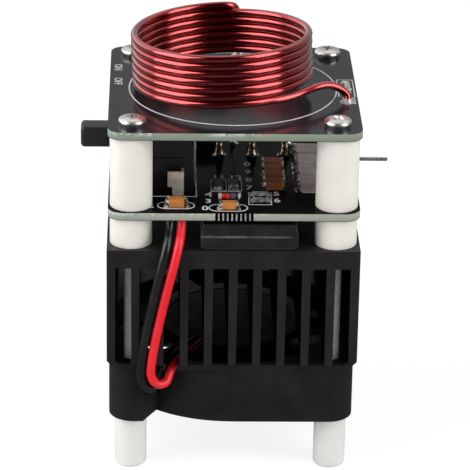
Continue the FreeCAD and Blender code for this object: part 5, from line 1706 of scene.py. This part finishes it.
@dataclass
class Studio:
    """The camera, the lamps, the surroundings and the floor.

    What gloss sees grows brighter upwards over the range of rise, and backwards over that of recede.
    """

    spot: Spot = (-15.57, -548.97, 279.28)
    yaw: float = 0.03005
    pitch: float = 0.40778
    roll: float = 0.01762
    lens: float = 221.37
    aim: Spot = (0.0, 0.0, 0.05)
    boxes: tuple[SoftBox, ...] = (
        SoftBox(-71.0, 26.0, 0.62, 0.55, 0.85, 5.1),
        SoftBox(59.0, 26.0, 0.62, 0.40, 0.85, 3.6),
    )
    ambient: float = 0.14
    front_gloss: float = 0.02
    low_gloss: float = 0.38
    side_gloss: float = 1.3
    high_gloss: float = 1.0
    rise: Flat = (0.35, 0.8)
    recede: Flat = (-0.1, 0.4)
    floor_half: float = 3.0
    floor_pale: float = 0.80
    floor_shade: float = 0.30
    floor_glow: float = 0.84
    floor_gloss: float = 0.2

    def build(self) -> None:
        """Sets everything up."""
        self.place_camera()
        for box in self.boxes:
            self.place_box(box)
        self.make_world()
        self.make_floor()
        bpy.context.scene.view_settings.view_transform = "Standard"

    def place_camera(self) -> None:
        """Puts the camera at its fixed place and view; its three angles are in radians."""
        sine, cosine = math.sin(self.yaw), math.cos(self.yaw)
        ahead = Vector((sine * math.cos(self.pitch), cosine * math.cos(self.pitch), -math.sin(self.pitch)))
        right = Vector((cosine, -sine, 0.0))
        up = right.cross(ahead)
        across = math.cos(self.roll) * right + math.sin(self.roll) * up
        upward = -math.sin(self.roll) * right + math.cos(self.roll) * up
        camera = linked("camera", bpy.data.cameras.new("camera"))
        facing = Matrix((across, upward, -ahead)).transposed().to_4x4()
        camera.matrix_world = Matrix.Translation(Vector(self.spot) * MM) @ facing
        camera.data.lens = self.lens
        camera.data.sensor_width = 36.0
        camera.data.clip_start = 0.01
        bpy.context.scene.camera = camera

    def place_box(self, box: SoftBox) -> None:
        """Hangs one lamp, facing the object.

        Args:
            box: The lamp.
        """
        light = bpy.data.lights.new("softbox", "AREA")
        light.shape = "RECTANGLE"
        light.size = box.width
        light.size_y = box.height
        light.energy = box.power
        lamp = linked("softbox", light)
        azimuth, elevation = math.radians(box.azimuth), math.radians(box.elevation)
        level = math.cos(elevation)
        way = Vector((math.sin(azimuth) * level, -math.cos(azimuth) * level, math.sin(elevation)))
        lamp.location = Vector(self.aim) + way * box.distance
        lamp.rotation_euler = way.to_track_quat("Z", "Y").to_euler()

    def rays(self, graph: Graph) -> tuple[Plug, Plug]:
        """Whether a ray is for gloss, and whether it comes straight or through glass from the camera."""
        ray = graph.add("ShaderNodeLightPath").outputs
        return ray["Is Glossy Ray"], graph.math("MAXIMUM", ray["Is Camera Ray"], ray["Is Transmission Ray"])

    def make_world(self) -> None:
        """White where the camera looks, and dimmer for gloss, most of all on the camera's own side."""
        world = bpy.data.worlds.new("room")
        world.use_nodes = True
        bpy.context.scene.world = world
        graph = Graph(world.node_tree)
        glossy, clear = self.rays(graph)
        x, y, z = graph.parts(graph.add("ShaderNodeTexCoord").outputs["Generated"])
        side = graph.times(graph.math("MAXIMUM", graph.times(x, -1.0), 0.0), self.side_gloss)
        behind = graph.ramp(z, *self.rise, graph.math("ADD", side, self.low_gloss), self.high_gloss)
        back = graph.ramp(y, *self.recede, self.front_gloss, behind)
        power = graph.mix(clear, graph.mix(glossy, self.ambient, back), 1.0)
        background = world.node_tree.nodes["Background"].inputs
        background["Color"].default_value = WHITE
        world.node_tree.links.new(power, background["Strength"])

    def make_floor(self) -> None:
        """A pale floor that reads as white and still takes a soft shadow."""
        mesh = bpy.data.meshes.new("floor")
        half = self.floor_half
        corners = [(x * half, y * half, 0.0) for x, y in ((-1, -1), (1, -1), (1, 1), (-1, 1))]
        mesh.from_pydata(corners, [], [(0, 1, 2, 3)])
        material = bpy.data.materials.new("pale floor")
        material.use_nodes = True
        graph = Graph(material.node_tree)
        glossy, clear = self.rays(graph)
        matt, shade = (
            graph.add("ShaderNodeBsdfDiffuse", {"Color": (tone, tone, tone, 1.0)})
            for tone in (self.floor_pale, self.floor_shade)
        )
        glow, gloss = (
            graph.add("ShaderNodeEmission", {"Color": WHITE, "Strength": strength})
            for strength in (self.floor_glow, self.floor_gloss)
        )
        pale = graph.add("ShaderNodeAddShader", {0: shade, 1: glow})
        dull = graph.add("ShaderNodeMixShader", {0: glossy, 1: matt, 2: gloss})
        mixed = graph.add("ShaderNodeMixShader", {0: clear, 1: dull, 2: pale})
        surface = material.node_tree.nodes["Material Output"].inputs["Surface"]
        material.node_tree.links.new(mixed.outputs[0], surface)
        mesh.materials.append(material)
        linked("floor", mesh)


def corners(box: tuple[Vector, Vector]) -> list[list[float]]:
    """A box's two corners as plain numbers."""
    return [[round(float(part), 6) for part in corner] for corner in box]


def main() -> None:
    """Loads the frame and builds every sub-assembly round it."""
    logging.basicConfig(level=logging.INFO, format="%(name)s: %(message)s")
    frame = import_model()
    NODES.update(frame["nodes"])
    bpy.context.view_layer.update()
    Studio().build()
    growths = Growths()
    for assembly in (FanLeads, Stack, Cooler, Winding, PowerStage, Controls, SmallParts, Marks):
        assembly(growths).build()


if __name__ == "__main__":
    main()
